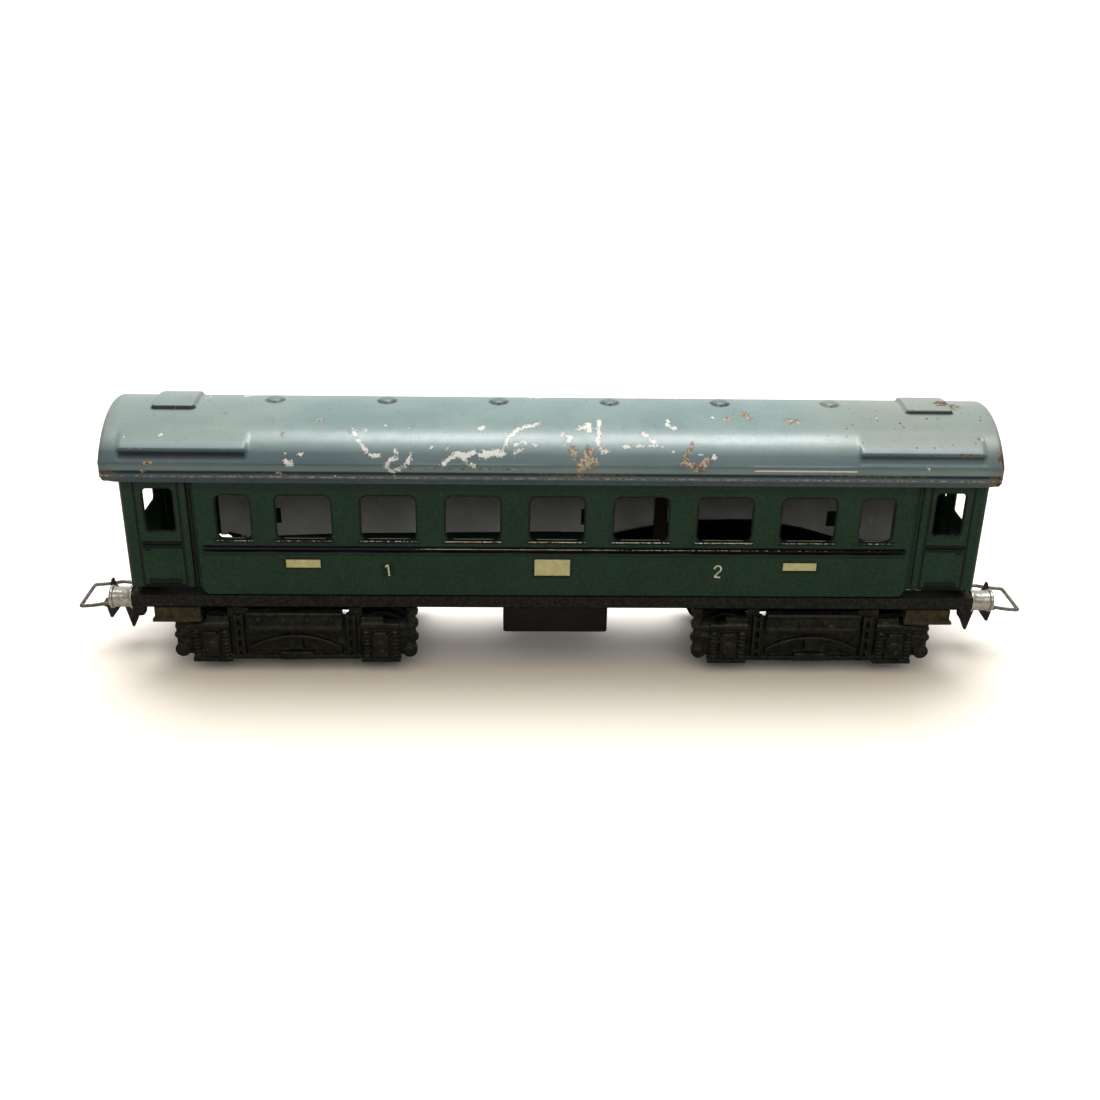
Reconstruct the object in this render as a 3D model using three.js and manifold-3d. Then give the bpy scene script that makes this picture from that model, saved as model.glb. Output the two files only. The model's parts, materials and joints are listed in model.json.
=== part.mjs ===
// Model passenger coach: tin-plate express coach on two four-wheel bogies, about 1:87.
// Millimetres, +Z up, +X along the coach. The origin is on the table under the middle of the coach.

import * as THREE from 'three';
import { mergeVertices } from 'three/addons/utils/BufferGeometryUtils.js';
import Module from 'manifold-3d';

const wasm = await Module();
wasm.setup();

// ---- driving dimensions ----

const GAP = 0.3;                // clearance between neighbouring pieces
const SHEET = 0.5;              // thickness of the pressed tin

const BODY_END = 82.5;          // half length of the body and underframe
const PROUD_END = 68.5;         // half length of the side's pushed-out middle
const PROUD_Y = 13.8;           // half width over the pushed-out middle
const DOOR_Y = 12.8;            // half width over the door bays
const CORNER_R = 1.4;           // radius of the body's upright corners
const CORNER_RETURN_Y = 10.6;   // the side pressing wraps round the corner as far as this
const WALL_BOTTOM = 17.2;
const DOOR_BOTTOM = 18.4;
const WALL_TOP = 43;

const WINDOW_PITCH = 16;
const WINDOW_W = 10.3;
const WINDOW_R = 1.2;
const WINDOW_Z = [29.1, 38];
const NARROW_WINDOW_X = 61.2;
const NARROW_WINDOW_W = 6.3;
const DOOR_WINDOW_X = [72.5, 78];
const DOOR_WINDOW_Z = [30.3, 38.8];
const END_WALL_Y = 11.5;        // half width of the end walls, which stand behind the sides' returns
const END_DOOR_SHIFT = 1.9;
const END_OPENING_R = 0.6;
const END_DOOR_W = 7.4;
const END_DOOR_Z = [29.4, 42.5];
const END_WINDOW_Y = 8.15;
const END_WINDOW_W = 2.9;
const END_WINDOW_Z = [30.1, 38.8];
const BELT_Z = [26.7, 27.4];
const BELT_DEPTH = 0.2;

const ROOF_HALF = 84.5;
const ROOF_SHIFT = -0.6;        // the roof sits this much towards the left-hand end
const ROOF_R = 17.7;            // barrel radius of the roof
const ROOF_TOP = 52.3;
const ROOF_Y = 14.7;            // half width over the roof's upright skirt
const ROOF_RIM = 40.6;
const ROOF_SHEET = 0.6;
const ROOF_END_LIP = 2.2;       // how far the roof's end turns down
const DOME_PITCH = 21.45;
const DOME_R = 1.7;
const DOME_RISE = 0.75;
const COVER_X = [67, 76];       // flat raised cover near each end of the ridge
const COVER_Y = 4;
const COVER_RISE = 0.7;
const SHOULDER_X = [57.3, 80.9];  // raised shoulder over each door
const SHOULDER_Y = 13.9;
const SHOULDER_Z = [44.9, 46.6];

const FRAME_Y = 13.5;           // half width over the solebars
const FRAME_Z = [14.5, 16.9];

const BUFFER_Y = 10;
const BUFFER_Z = 14.8;
const BUFFER_FACE = 87.4;
const BUFFER_R = 2.0;
const BUFFER_HEAD_R = 2.25;

const BOGIE_X = 51.2;           // bogie pivot from the middle of the coach
const AXLE_X = 16.6;            // axle from the bogie pivot
const FLANGE_R = 6.2;
const TREAD_R = 5.4;
const AXLE_Z = FLANGE_R;
const AXLE_R = 1.0;
const JOURNAL_R = 0.75;
const SIDE_FRAME_Y = [11.7, 12.7];
const BOGIE_END = 24.3;

const COUPLING_PIVOT_X = 19.5;  // from the bogie pivot
const ARM_Z = [8.1, 8.9];
const BAIL_PIVOT = [86.6, 10.4];
const BAIL_Y = 4.9;
const BAIL_WIRE_R = 0.38;
const BAIL_TIP_X = 95.6;

const LEFT = -1;
const RIGHT = 1;
const FRONT = -1;
const BACK = 1;

// ---- materials ----

const paint = (color, roughness, metalness = 0.2) =>
  new THREE.MeshStandardMaterial({ color, roughness, metalness });
const ROOF_BLUE = paint(0x76898e, 0.45, 0.3);
const COACH_GREEN = paint(0x243f2f, 0.4);
const FRAME_BLACK = paint(0x2b2929, 0.5);
const STEP_BROWN = paint(0x4a3d28, 0.7);
const CAST_BLACK = paint(0x2a2a22, 0.75);
const ZINC = paint(0xb9b8a8, 0.4, 0.8);
const STEEL = paint(0x7d7b76, 0.35, 0.9);
const LINING_GREY = paint(0x5a5653, 0.8, 0);
const FIBRE_BROWN = paint(0x3a2418, 0.8, 0);
const WHEEL_BLACK = paint(0x222222, 0.6, 0);

// ---- solids ----

function solid(geometry) {
  const bare = geometry.index ? geometry.clone() : geometry;
  bare.deleteAttribute('normal');
  bare.deleteAttribute('uv');
  const merged = mergeVertices(bare, 1e-5);
  return new wasm.Manifold(new wasm.Mesh({
    numProp: 3,
    vertProperties: new Float32Array(merged.attributes.position.array),
    triVerts: new Uint32Array(merged.index.array),
  }));
}

function named(name, material, body) {
  const { vertProperties, triVerts } = body.getMesh();
  const geometry = new THREE.BufferGeometry();
  geometry.setAttribute('position', new THREE.BufferAttribute(new Float32Array(vertProperties), 3));
  geometry.setIndex(new THREE.BufferAttribute(new Uint32Array(triVerts), 1));
  geometry.computeVertexNormals();
  const mesh = new THREE.Mesh(geometry, material);
  mesh.name = name;
  return mesh;
}

const union = (parts) => parts.reduce((whole, part) => whole.add(part));
const cutAll = (whole, parts) => parts.reduce((rest, part) => rest.subtract(part), whole);

function box([x0, x1], [y0, y1], [z0, z1]) {
  const geometry = new THREE.BoxGeometry(x1 - x0, y1 - y0, z1 - z0);
  return solid(geometry.translate((x0 + x1) / 2, (y0 + y1) / 2, (z0 + z1) / 2));
}

// The outline's (a, b) points become two of the axes and the extrusion runs along the third.
function extrude(outline, axis, [from, to], curveSegments = 6) {
  const shape = outline instanceof THREE.Shape ? outline : new THREE.Shape(outline);
  const geometry = new THREE.ExtrudeGeometry(shape, { depth: to - from, bevelEnabled: false, curveSegments });
  const [X, Y, Z] = [new THREE.Vector3(1, 0, 0), new THREE.Vector3(0, 1, 0), new THREE.Vector3(0, 0, 1)];
  const turn = new THREE.Matrix4();
  if (axis === 'x') turn.makeBasis(Y, Z, X).setPosition(from, 0, 0);
  if (axis === 'y') turn.makeBasis(X, Z, Y.clone().negate()).setPosition(0, to, 0);
  if (axis === 'z') turn.makeBasis(X, Y, Z).setPosition(0, 0, from);
  return solid(geometry.applyMatrix4(turn));
}

function rounded([a0, a1], [b0, b1], r) {
  const shape = new THREE.Shape();
  shape.moveTo(a0 + r, b0);
  shape.lineTo(a1 - r, b0);
  shape.absarc(a1 - r, b0 + r, r, -Math.PI / 2, 0);
  shape.lineTo(a1, b1 - r);
  shape.absarc(a1 - r, b1 - r, r, 0, Math.PI / 2);
  shape.lineTo(a0 + r, b1);
  shape.absarc(a0 + r, b1 - r, r, Math.PI / 2, Math.PI);
  shape.lineTo(a0, b0 + r);
  shape.absarc(a0 + r, b0 + r, r, Math.PI, 1.5 * Math.PI);
  return shape;
}

// A solid turned about a line through (x, y, z), along X, Y or Z. The profile lists [radius, distance along].
function turned(profile, axis, [x, y, z], segments = 24) {
  const geometry = new THREE.LatheGeometry(profile.map(([r, d]) => new THREE.Vector2(r, d)), segments);
  if (axis === 'x') geometry.rotateZ(-Math.PI / 2);
  if (axis === 'z') geometry.rotateX(Math.PI / 2);
  return solid(geometry.translate(x, y, z));
}

const disc = (r, d0, d1) => [[0, d0], [r, d0], [r, d1], [0, d1]];

function wire(points, r, tension = 0.1) {
  const stops = points.map((p) => new THREE.Vector3(...p));
  const route = new THREE.CatmullRomCurve3(stops, false, 'catmullrom', tension);
  const ring = new THREE.Shape();
  ring.absarc(0, 0, r, 0, 2 * Math.PI);
  return solid(new THREE.ExtrudeGeometry(ring, { steps: 34, curveSegments: 4, extrudePath: route }));
}

// ---- roof ----

const ROOF_CENTRE_Z = ROOF_TOP - ROOF_R;

// Half-round section of the roof, inset by a distance from its outer skin, open or flat at the rim.
function roofSection(inset, bottom = ROOF_RIM) {
  const r = ROOF_R - inset;
  const y = ROOF_Y - inset;
  const lean = Math.acos(y / r);
  const shape = new THREE.Shape();
  shape.moveTo(-y, bottom);
  shape.lineTo(y, bottom);
  shape.absarc(0, ROOF_CENTRE_Z, r, lean, Math.PI - lean);
  shape.lineTo(-y, bottom);
  return shape;
}

function roof() {
  const arcSteps = 20;
  const skin = extrude(roofSection(0), 'x', [-ROOF_HALF, ROOF_HALF], arcSteps);
  const hollow = extrude(roofSection(ROOF_SHEET, ROOF_RIM - 1), 'x',
    [-ROOF_HALF + ROOF_SHEET, ROOF_HALF - ROOF_SHEET], arcSteps);
  const endOpening = extrude(roofSection(ROOF_END_LIP, ROOF_RIM - 1), 'x',
    [-ROOF_HALF - 1, ROOF_HALF + 1], arcSteps);

  const raised = [];
  for (let k = -2.5; k <= 2.5; k += 1) {
    const sphereR = (DOME_R ** 2 + DOME_RISE ** 2) / (2 * DOME_RISE);
    const cap = [];
    for (let step = 0; step <= 3; step += 1) {
      const angle = (step / 3) * Math.asin(DOME_R / sphereR);
      cap.push([sphereR * Math.sin(angle), sphereR * (Math.cos(angle) - 1) + DOME_RISE]);
    }
    const dome = [[0, -0.4], [DOME_R, -0.4], ...cap.reverse()];
    raised.push(turned(dome, 'z', [k * DOME_PITCH, 0, ROOF_TOP], 12));
  }
  const coverArc = new THREE.Shape();
  const coverR = ROOF_R + COVER_RISE;
  const coverLean = Math.acos(COVER_Y / coverR);
  coverArc.moveTo(-COVER_Y, ROOF_TOP - 0.8);
  coverArc.lineTo(COVER_Y, ROOF_TOP - 0.8);
  coverArc.absarc(0, ROOF_CENTRE_Z, coverR, coverLean, Math.PI - coverLean);
  for (const end of [LEFT, RIGHT]) {
    raised.push(extrude(coverArc, 'x', end === LEFT ? [-COVER_X[1], -COVER_X[0]] : COVER_X, 8));
    for (const side of [FRONT, BACK]) {
      const shoulder = [
        [side * (SHOULDER_Y - 0.7), SHOULDER_Z[0]], [side * SHOULDER_Y, SHOULDER_Z[0]],
        [side * SHOULDER_Y, SHOULDER_Z[1] - 0.3], [side * (SHOULDER_Y - 0.4), SHOULDER_Z[1]],
        [side * (SHOULDER_Y - 2.8), SHOULDER_Z[1] + 1.4], [side * (SHOULDER_Y - 2.8), SHOULDER_Z[1] + 0.6],
      ];
      const outline = shoulder.map(([y, z]) => new THREE.Vector2(y, z));
      raised.push(extrude(outline, 'x', end === LEFT ? [-SHOULDER_X[1], -SHOULDER_X[0]] : SHOULDER_X));
    }
  }
  const shell = cutAll(skin.add(union(raised)), [hollow, endOpening]);
  return named('roof', ROOF_BLUE, shell.translate([ROOF_SHIFT, 0, 0]));
}

// ---- body walls ----

// Plan of a side pressing's outer line or, inset by the sheet, its inner line, for the front side (-Y).
function sidePlan(inset) {
  const y = (value) => -(value - inset);
  const line = [];
  const cornerSteps = 4;
  line.push([-(BODY_END - inset), -CORNER_RETURN_Y]);
  for (let step = 0; step <= cornerSteps; step += 1) {
    const angle = Math.PI + (step / cornerSteps) * (Math.PI / 2);
    const r = CORNER_R - inset;
    line.push([-(BODY_END - CORNER_R) + r * Math.cos(angle), -(DOOR_Y - CORNER_R) + r * Math.sin(angle)]);
  }
  line.push([-PROUD_END - 0.4, y(DOOR_Y)], [-PROUD_END + inset, y(PROUD_Y)]);
  return [...line, ...line.map(([x, v]) => [-x, v]).reverse()];
}

function sideWall(side) {
  const plan = [...sidePlan(0), ...sidePlan(SHEET).reverse()].map(([x, y]) => new THREE.Vector2(x, y));
  let wall = extrude(plan, 'z', [WALL_BOTTOM, WALL_TOP]);
  const through = [-PROUD_Y - 1, -DOOR_Y + 2];
  const cuts = [];
  for (let k = -3; k <= 3; k += 1) {
    const x = k * WINDOW_PITCH;
    cuts.push(extrude(rounded([x - WINDOW_W / 2, x + WINDOW_W / 2], WINDOW_Z, WINDOW_R), 'y', through, 2));
  }
  for (const end of [LEFT, RIGHT]) {
    const x = end * NARROW_WINDOW_X;
    const narrow = [x - NARROW_WINDOW_W / 2, x + NARROW_WINDOW_W / 2];
    cuts.push(extrude(rounded(narrow, WINDOW_Z, WINDOW_R), 'y', through, 2));
    const doorSpan = end === LEFT ? [-DOOR_WINDOW_X[1], -DOOR_WINDOW_X[0]] : DOOR_WINDOW_X;
    cuts.push(extrude(rounded(doorSpan, DOOR_WINDOW_Z, 0.8), 'y', through, 2));
    const bay = end === LEFT ? [-BODY_END - 1, -PROUD_END - 0.45] : [PROUD_END + 0.45, BODY_END + 1];
    cuts.push(box(bay, [-PROUD_Y - 1, 0], [WALL_BOTTOM - 1, DOOR_BOTTOM]));
  }
  cuts.push(box([-PROUD_END - 2, PROUD_END + 2], [-PROUD_Y - 1, -PROUD_Y + BELT_DEPTH], BELT_Z));
  wall = cutAll(wall, cuts);
  if (side === BACK) wall = wall.rotate([0, 0, 180]);
  return named(side === FRONT ? 'side_wall_front' : 'side_wall_back', COACH_GREEN, wall);
}

// Both ends are the same pressing, turned round: its door opening sits a little off the middle of the coach.
function endWall(end) {
  const halfWidth = END_WALL_Y;
  const topR = ROOF_R - ROOF_END_LIP - 1;
  const lean = Math.acos(halfWidth / topR);
  const outline = new THREE.Shape();
  outline.moveTo(-halfWidth, WALL_BOTTOM);
  outline.lineTo(halfWidth, WALL_BOTTOM);
  outline.absarc(0, ROOF_CENTRE_Z, topR, lean, Math.PI - lean);
  outline.lineTo(-halfWidth, WALL_BOTTOM);
  const outer = BODY_END - SHEET - GAP;
  const span = end === LEFT ? [-outer, -outer + SHEET] : [outer - SHEET, outer];
  const through = [span[0] - 1, span[1] + 1];
  const openingAt = (y, width, z) =>
    extrude(rounded([y - width / 2, y + width / 2], z, END_OPENING_R), 'x', through, 2);
  const cuts = [openingAt(-end * END_DOOR_SHIFT, END_DOOR_W, END_DOOR_Z)];
  for (const side of [FRONT, BACK]) cuts.push(openingAt(side * END_WINDOW_Y, END_WINDOW_W, END_WINDOW_Z));
  return named(end === LEFT ? 'end_wall_left' : 'end_wall_right', COACH_GREEN,
    cutAll(extrude(outline, 'x', span, 16), cuts));
}

// ---- inside the body ----

const LINING_X = [-70, 72.3];
const LINING_SHEET = 0.4;

function lining(side) {
  const inner = DOOR_Y - SHEET - GAP;
  const y = side === FRONT ? [-inner, -inner + LINING_SHEET] : [inner - LINING_SHEET, inner];
  return named(side === FRONT ? 'lining_front' : 'lining_back', LINING_GREY,
    box(LINING_X, y, [WALL_BOTTOM, WINDOW_Z[0] - 0.6]));
}

const BRACKET_Y = 3;
const BRACKET_BASE_Z = FRAME_Z[1] + GAP;

function lampBracket() {
  const outline = [[9, 0], [61, 0], [61, 4.6], [51, 7.5], [42, 9.3], [27.5, 9.3], [17, 7.3], [9, 5.2]]
    .map(([x, z]) => new THREE.Vector2(x, BRACKET_BASE_Z + z));
  const plate = extrude(outline, 'y', [BRACKET_Y - 0.4, BRACKET_Y + 0.4]);
  const foot = box([9, 61], [BRACKET_Y - 0.4, BRACKET_Y + 4], [BRACKET_BASE_Z, BRACKET_BASE_Z + 0.6]);
  return named('lamp_bracket', FRAME_BLACK, plate.add(foot));
}

function fibreStrip() {
  const y = BRACKET_Y - 0.4 - GAP;
  return named('fibre_strip', FIBRE_BROWN,
    box([20.2, 22.9], [y - 0.6, y], [BRACKET_BASE_Z, BRACKET_BASE_Z + 19]));
}

// ---- underframe ----

const STUD_R = 1.2;
const LUG_HALF = 1.25;          // half length of the small lug under each corner of the underframe
const LUG_DROP = 2.1;
const LUG_SHEET = 1.2;

function underframe() {
  const skirt = box([-BODY_END, BODY_END], [-FRAME_Y, FRAME_Y], FRAME_Z);
  const hollow = box([-BODY_END + SHEET, BODY_END - SHEET], [-FRAME_Y + SHEET, FRAME_Y - SHEET],
    [FRAME_Z[0] - 1, FRAME_Z[1] - SHEET]);
  let frame = skirt.subtract(hollow);
  for (const end of [LEFT, RIGHT]) {
    frame = frame.subtract(turned(disc(STUD_R + GAP, 0, 5), 'z', [end * BOGIE_X, 0, FRAME_Z[0]], 16));
    for (const side of [FRONT, BACK]) {
      const x = end * (BODY_END - LUG_HALF - 0.1);
      const y = side * (FRAME_Y - LUG_SHEET / 2);
      const outline = rounded([x - LUG_HALF, x + LUG_HALF], [FRAME_Z[0] - LUG_DROP, FRAME_Z[0] + 0.3], 0.9);
      frame = frame.add(extrude(outline, 'y', [y - LUG_SHEET / 2, y + LUG_SHEET / 2], 4));
    }
  }
  return named('underframe', FRAME_BLACK, frame);
}

const EQUIPMENT_X = 10.3;       // half length of the equipment box
const EQUIPMENT_Y = 13;
const EQUIPMENT_BOTTOM = 8.9;

// The box's upper edges are set back to stand inside the solebars.
function equipmentBox() {
  const top = FRAME_Z[1] - SHEET - GAP;
  const body = extrude(rounded([-EQUIPMENT_X, EQUIPMENT_X], [-EQUIPMENT_Y, EQUIPMENT_Y], 0.8), 'z',
    [EQUIPMENT_BOTTOM, top], 3);
  const clear = FRAME_Y - SHEET - 0.2;
  const rebates = [[-EQUIPMENT_Y - 1, -clear], [clear, EQUIPMENT_Y + 1]]
    .map((y) => box([-EQUIPMENT_X - 1, EQUIPMENT_X + 1], y, [FRAME_Z[0] - GAP, top + 1]));
  return named('equipment_box', FRAME_BLACK, cutAll(body, rebates));
}

const STEP_X = [69.4, 78.3];
const STEP_Z = [11.4, FRAME_Z[0] - GAP];
const STEP_BOARD_Y = [12.7, 13.5];
const STEP_TREAD_Y = 14.3;
const STEP_TREAD_H = 0.6;

function doorStep(end, side) {
  const x = end === LEFT ? [-STEP_X[1], -STEP_X[0]] : STEP_X;
  const [back, face] = STEP_BOARD_Y;
  const board = side === FRONT ? [-face, -back] : [back, face];
  const tread = side === FRONT ? [-STEP_TREAD_Y, -back] : [back, STEP_TREAD_Y];
  const name = `door_step_${side === FRONT ? 'front' : 'back'}_${end === LEFT ? 'left' : 'right'}`;
  const treadBoard = box([x[0] - 0.3, x[1] + 0.3], tread, [STEP_Z[0], STEP_Z[0] + STEP_TREAD_H]);
  return named(name, STEP_BROWN, box(x, board, STEP_Z).add(treadBoard));
}

function buffer(end, side) {
  const root = BODY_END + GAP;
  const profile = [[0, root], [BUFFER_R + 0.4, root], [BUFFER_R + 0.4, root + 0.6], [BUFFER_R, root + 0.6],
    [BUFFER_R, BUFFER_FACE - 0.7], [BUFFER_HEAD_R, BUFFER_FACE - 0.7], [BUFFER_HEAD_R, BUFFER_FACE],
    [0, BUFFER_FACE]];
  let body = turned(profile, 'x', [0, side * BUFFER_Y, BUFFER_Z], 18);
  if (end === LEFT) body = body.mirror([1, 0, 0]);
  return named(`buffer_${side === FRONT ? 'front' : 'back'}_${end === LEFT ? 'left' : 'right'}`, ZINC, body);
}

function pivotStud(end) {
  const top = FRAME_Z[1] + GAP;
  const profile = [[0, 8.4], [2.2, 8.4], [2.2, 9.3], [STUD_R, 9.3], [STUD_R, top], [2.6, top],
    [2.2, top + 0.8], [0, top + 0.8]];
  return named(`pivot_stud_${end === LEFT ? 'left' : 'right'}`, ZINC,
    turned(profile, 'z', [end * BOGIE_X, 0, 0], 16));
}

// ---- bogies, drawn about their own pivot ----

const SPINE_Z = [9.7, 11.4];

// One side frame of the right-hand bogie: the post that reaches up to the solebar is at its inner end.
function sideFrame() {
  const [inner, plate] = SIDE_FRAME_Y;
  const back = [inner, plate];
  const parts = [
    box([-BOGIE_END + 0.6, BOGIE_END - 0.6], back, [3.4, 11.1]),
    box([-17.2, 17.2], back, [3.4, 12.2]),
    box([-9.4, 9.4], [inner, 13.9], [9, 13.2]),
    box([-12.9, 12.9], [inner, 13.4], [2.8, 4.2]),
  ];
  const springSteps = 6;
  const spring = [];
  for (const [base, rise] of [[3.6, 3.9], [3.4, 2.3]]) {
    const arc = [];
    for (let step = 0; step <= springSteps; step += 1) {
      const x = -9 + (18 * step) / springSteps;
      arc.push(new THREE.Vector2(x, base + rise * (1 - (x / 9) ** 2)));
    }
    spring.push(...(spring.length ? arc.reverse() : arc));
  }
  parts.push(extrude(spring, 'y', [inner, 13.3]));
  for (const end of [-1, 1]) {
    const at = (x0, x1) => (end < 0 ? [-x1, -x0] : [x0, x1]);
    parts.push(box(at(12.8, 20.6), [inner, 13.6], [2.2, 11.1]));
    parts.push(box(at(12.8, 17.2), [inner, 13.3], [11, 12.2]));
    parts.push(extrude(rounded(at(14.4, 18.9), [3.4, 8.9], 0.8), 'y', [inner, 14.3], 3));
    parts.push(box(at(10.2, 11.6), [inner, 13.3], [4, 12.2]));
    parts.push(box(at(20.4, 23.4), [inner, 13.1], [4.4, 11.1]));
    parts.push(turned(disc(1.6, inner, 13.5), 'y', [end * (BOGIE_END - 1.9), 0, 4.9], 12));
  }
  const post = rounded([-BOGIE_END, -BOGIE_END + 2.2], [5, FRAME_Z[0] - GAP], 0.8);
  parts.push(extrude(post, 'y', [inner, 13.2], 3));
  return cutAll(union(parts), [-1, 1].map((end) => turned(disc(JOURNAL_R + GAP, inner - 1, 13.2), 'y',
    [end * AXLE_X, 0, AXLE_Z], 12)));
}

function bogieFrame(end) {
  const side = sideFrame();
  const spine = box([-19, 19], [-5.6, 5.6], SPINE_Z);
  const tongue = extrude(rounded([-22, 22], [-2.6, 2.6], 2.2), 'z', SPINE_Z, 4);
  const bolster = box([-6.5, 6.5], [-12, 12], [8.6, 11.4]);
  const boss = turned(disc(4.2, 11, FRAME_Z[1] - SHEET - GAP), 'z', [0, 0, 0], 20);
  let frame = union([side, side.mirror([0, 1, 0]), spine, tongue, bolster, boss]);
  frame = frame.subtract(turned(disc(STUD_R + GAP, 5, 20), 'z', [0, 0, 0], 16));
  frame = frame.subtract(turned(disc(2.6, 5, SPINE_Z[0]), 'z', [0, 0, 0], 16));
  for (const x of [-COUPLING_PIVOT_X, COUPLING_PIVOT_X]) {
    frame = frame.subtract(turned(disc(1.1, 5, 15), 'z', [x, 0, 0], 12));
  }
  if (end === LEFT) frame = frame.rotate([0, 0, 180]);
  return named(`bogie_frame_${end === LEFT ? 'left' : 'right'}`, CAST_BLACK,
    frame.translate([end * BOGIE_X, 0, 0]));
}

function axle(name, x) {
  const profile = [[0, -12.8], [JOURNAL_R, -12.6], [JOURNAL_R, -10.6], [AXLE_R, -10.6], [AXLE_R, 10.6],
    [JOURNAL_R, 10.6], [JOURNAL_R, 12.6], [0, 12.8]];
  return named(name, STEEL, turned(profile, 'y', [x, 0, AXLE_Z], 16));
}

// A flanged wheel: flange towards the middle of the track, hub round the axle, dished web.
function wheel(name, x, side) {
  const bore = AXLE_R + 0.2;
  const profile = [[bore, 7.0], [2.3, 7.0], [2.4, 7.5], [FLANGE_R, 7.2], [FLANGE_R, 7.6],
    [TREAD_R, 8.1], [TREAD_R, 9.8], [4.5, 9.8], [4.5, 9.1], [2.3, 9.1], [2.3, 10], [bore, 10], [bore, 7.0]];
  let body = turned(profile, 'y', [x, 0, AXLE_Z], 20);
  if (side === FRONT) body = body.mirror([0, 1, 0]);
  return named(name, WHEEL_BLACK, body);
}

function wheelsets(end) {
  const pieces = [];
  for (const place of [-1, 1]) {
    const x = end * (BOGIE_X + place * AXLE_X);
    const label = `${end === LEFT ? 'left' : 'right'}_${place > 0 ? 'outer' : 'inner'}`;
    pieces.push(axle(`axle_${label}`, x));
    pieces.push(wheel(`wheel_front_${label}`, x, FRONT), wheel(`wheel_back_${label}`, x, BACK));
  }
  return pieces;
}

// ---- couplings, drawn at the right-hand end and turned round for the left ----

const PIVOT_X = BOGIE_X + COUPLING_PIVOT_X;

function couplingHook() {
  const armTop = ARM_Z[1];
  const arm = union([
    turned(disc(2.3, ...ARM_Z), 'z', [PIVOT_X, 0, 0], 16),
    extrude([[PIVOT_X, -2.3], [79, -1.5], [92, -1.5], [92.4, -1.1], [92.4, 1.1], [92, 1.5], [79, 1.5],
      [PIVOT_X, 2.3]]
      .map(([x, y]) => new THREE.Vector2(x, y)), 'z', ARM_Z),
  ]).subtract(turned(disc(1.1, 5, 15), 'z', [PIVOT_X, 0, 0], 12));
  const plate = (points) => extrude(points.map(([x, z]) => new THREE.Vector2(x, z)), 'y', [-0.5, 0.5]);
  const spike = plate([[88.9, armTop - 0.4], [90.6, armTop - 0.4], [90.6, 12.6], [90.3, 13.9],
    [89.9, 13.9], [89.6, 12.6], [88.9, 11.4]]);
  const shortClaw = plate([[88.4, armTop - 0.3], [91.0, 5.1], [91.5, 5.1], [92.2, armTop - 0.3]]);
  const longClaw = plate([[85.5, armTop - 0.3], [85.7, 5.3], [86.8, 3.0], [87.2, 3.0], [88.5, armTop - 0.3]]);
  const ear = plate([[BAIL_PIVOT[0] - 1.1, armTop - 0.3], [BAIL_PIVOT[0] + 1.1, armTop - 0.3],
    [BAIL_PIVOT[0] + 1.1, BAIL_PIVOT[1] + 0.6], [BAIL_PIVOT[0] + 0.6, BAIL_PIVOT[1] + 1],
    [BAIL_PIVOT[0] - 0.6, BAIL_PIVOT[1] + 1], [BAIL_PIVOT[0] - 1.1, BAIL_PIVOT[1] + 0.6]]);
  return union([arm, spike, shortClaw, longClaw, ear]);
}

function couplingRivet() {
  const head = SPINE_Z[1] + GAP;
  return turned([[0, 7.3], [1.4, 7.3], [1.7, ARM_Z[0] - GAP], [0.8, ARM_Z[0] - GAP], [0.8, head], [1.7, head],
    [1.3, head + 0.7], [0, head + 0.7]], 'z', [PIVOT_X, 0, 0], 12);
}

function bail() {
  const [x, z] = BAIL_PIVOT;
  const half = [[x, 0.9, z], [x, 2.4, z], [x, BAIL_Y - 0.4, z], [x + 0.4, BAIL_Y, z + 0.1],
    [x + 2.9, BAIL_Y, z + 0.4], [x + 6.6, BAIL_Y, z - 0.2], [BAIL_TIP_X - 0.5, BAIL_Y, z - 0.4],
    [BAIL_TIP_X, BAIL_Y - 0.5, z - 0.4]];
  return wire([...half, ...half.map(([a, b, c]) => [a, -b, c]).reverse()], BAIL_WIRE_R);
}

function coupling(end) {
  const label = end === LEFT ? 'left' : 'right';
  const place = (body) => (end === LEFT ? body.rotate([0, 0, 180]) : body);
  return [
    named(`coupling_hook_${label}`, STEEL, place(couplingHook())),
    named(`coupling_rivet_${label}`, ZINC, place(couplingRivet())),
    named(`coupling_bail_${label}`, STEEL, place(bail())),
  ];
}

// ---- assembly ----

const coach = new THREE.Group();
coach.add(roof(), underframe(), equipmentBox(), lampBracket(), fibreStrip());
for (const side of [FRONT, BACK]) coach.add(sideWall(side), lining(side));
for (const end of [LEFT, RIGHT]) {
  coach.add(endWall(end), pivotStud(end), bogieFrame(end), ...wheelsets(end), ...coupling(end));
  for (const side of [FRONT, BACK]) coach.add(buffer(end, side), doorStep(end, side));
}

export default coach;
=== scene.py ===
"""Model passenger coach: the looks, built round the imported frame.

Shapes are worked out in millimetres in the coach's own frame and scaled to metres when each mesh is made.
The front side faces -Y, and the left end is at -X.
"""

import json
import math

import bmesh
import bpy
import numpy as np
from mathutils import Matrix, Vector

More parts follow.
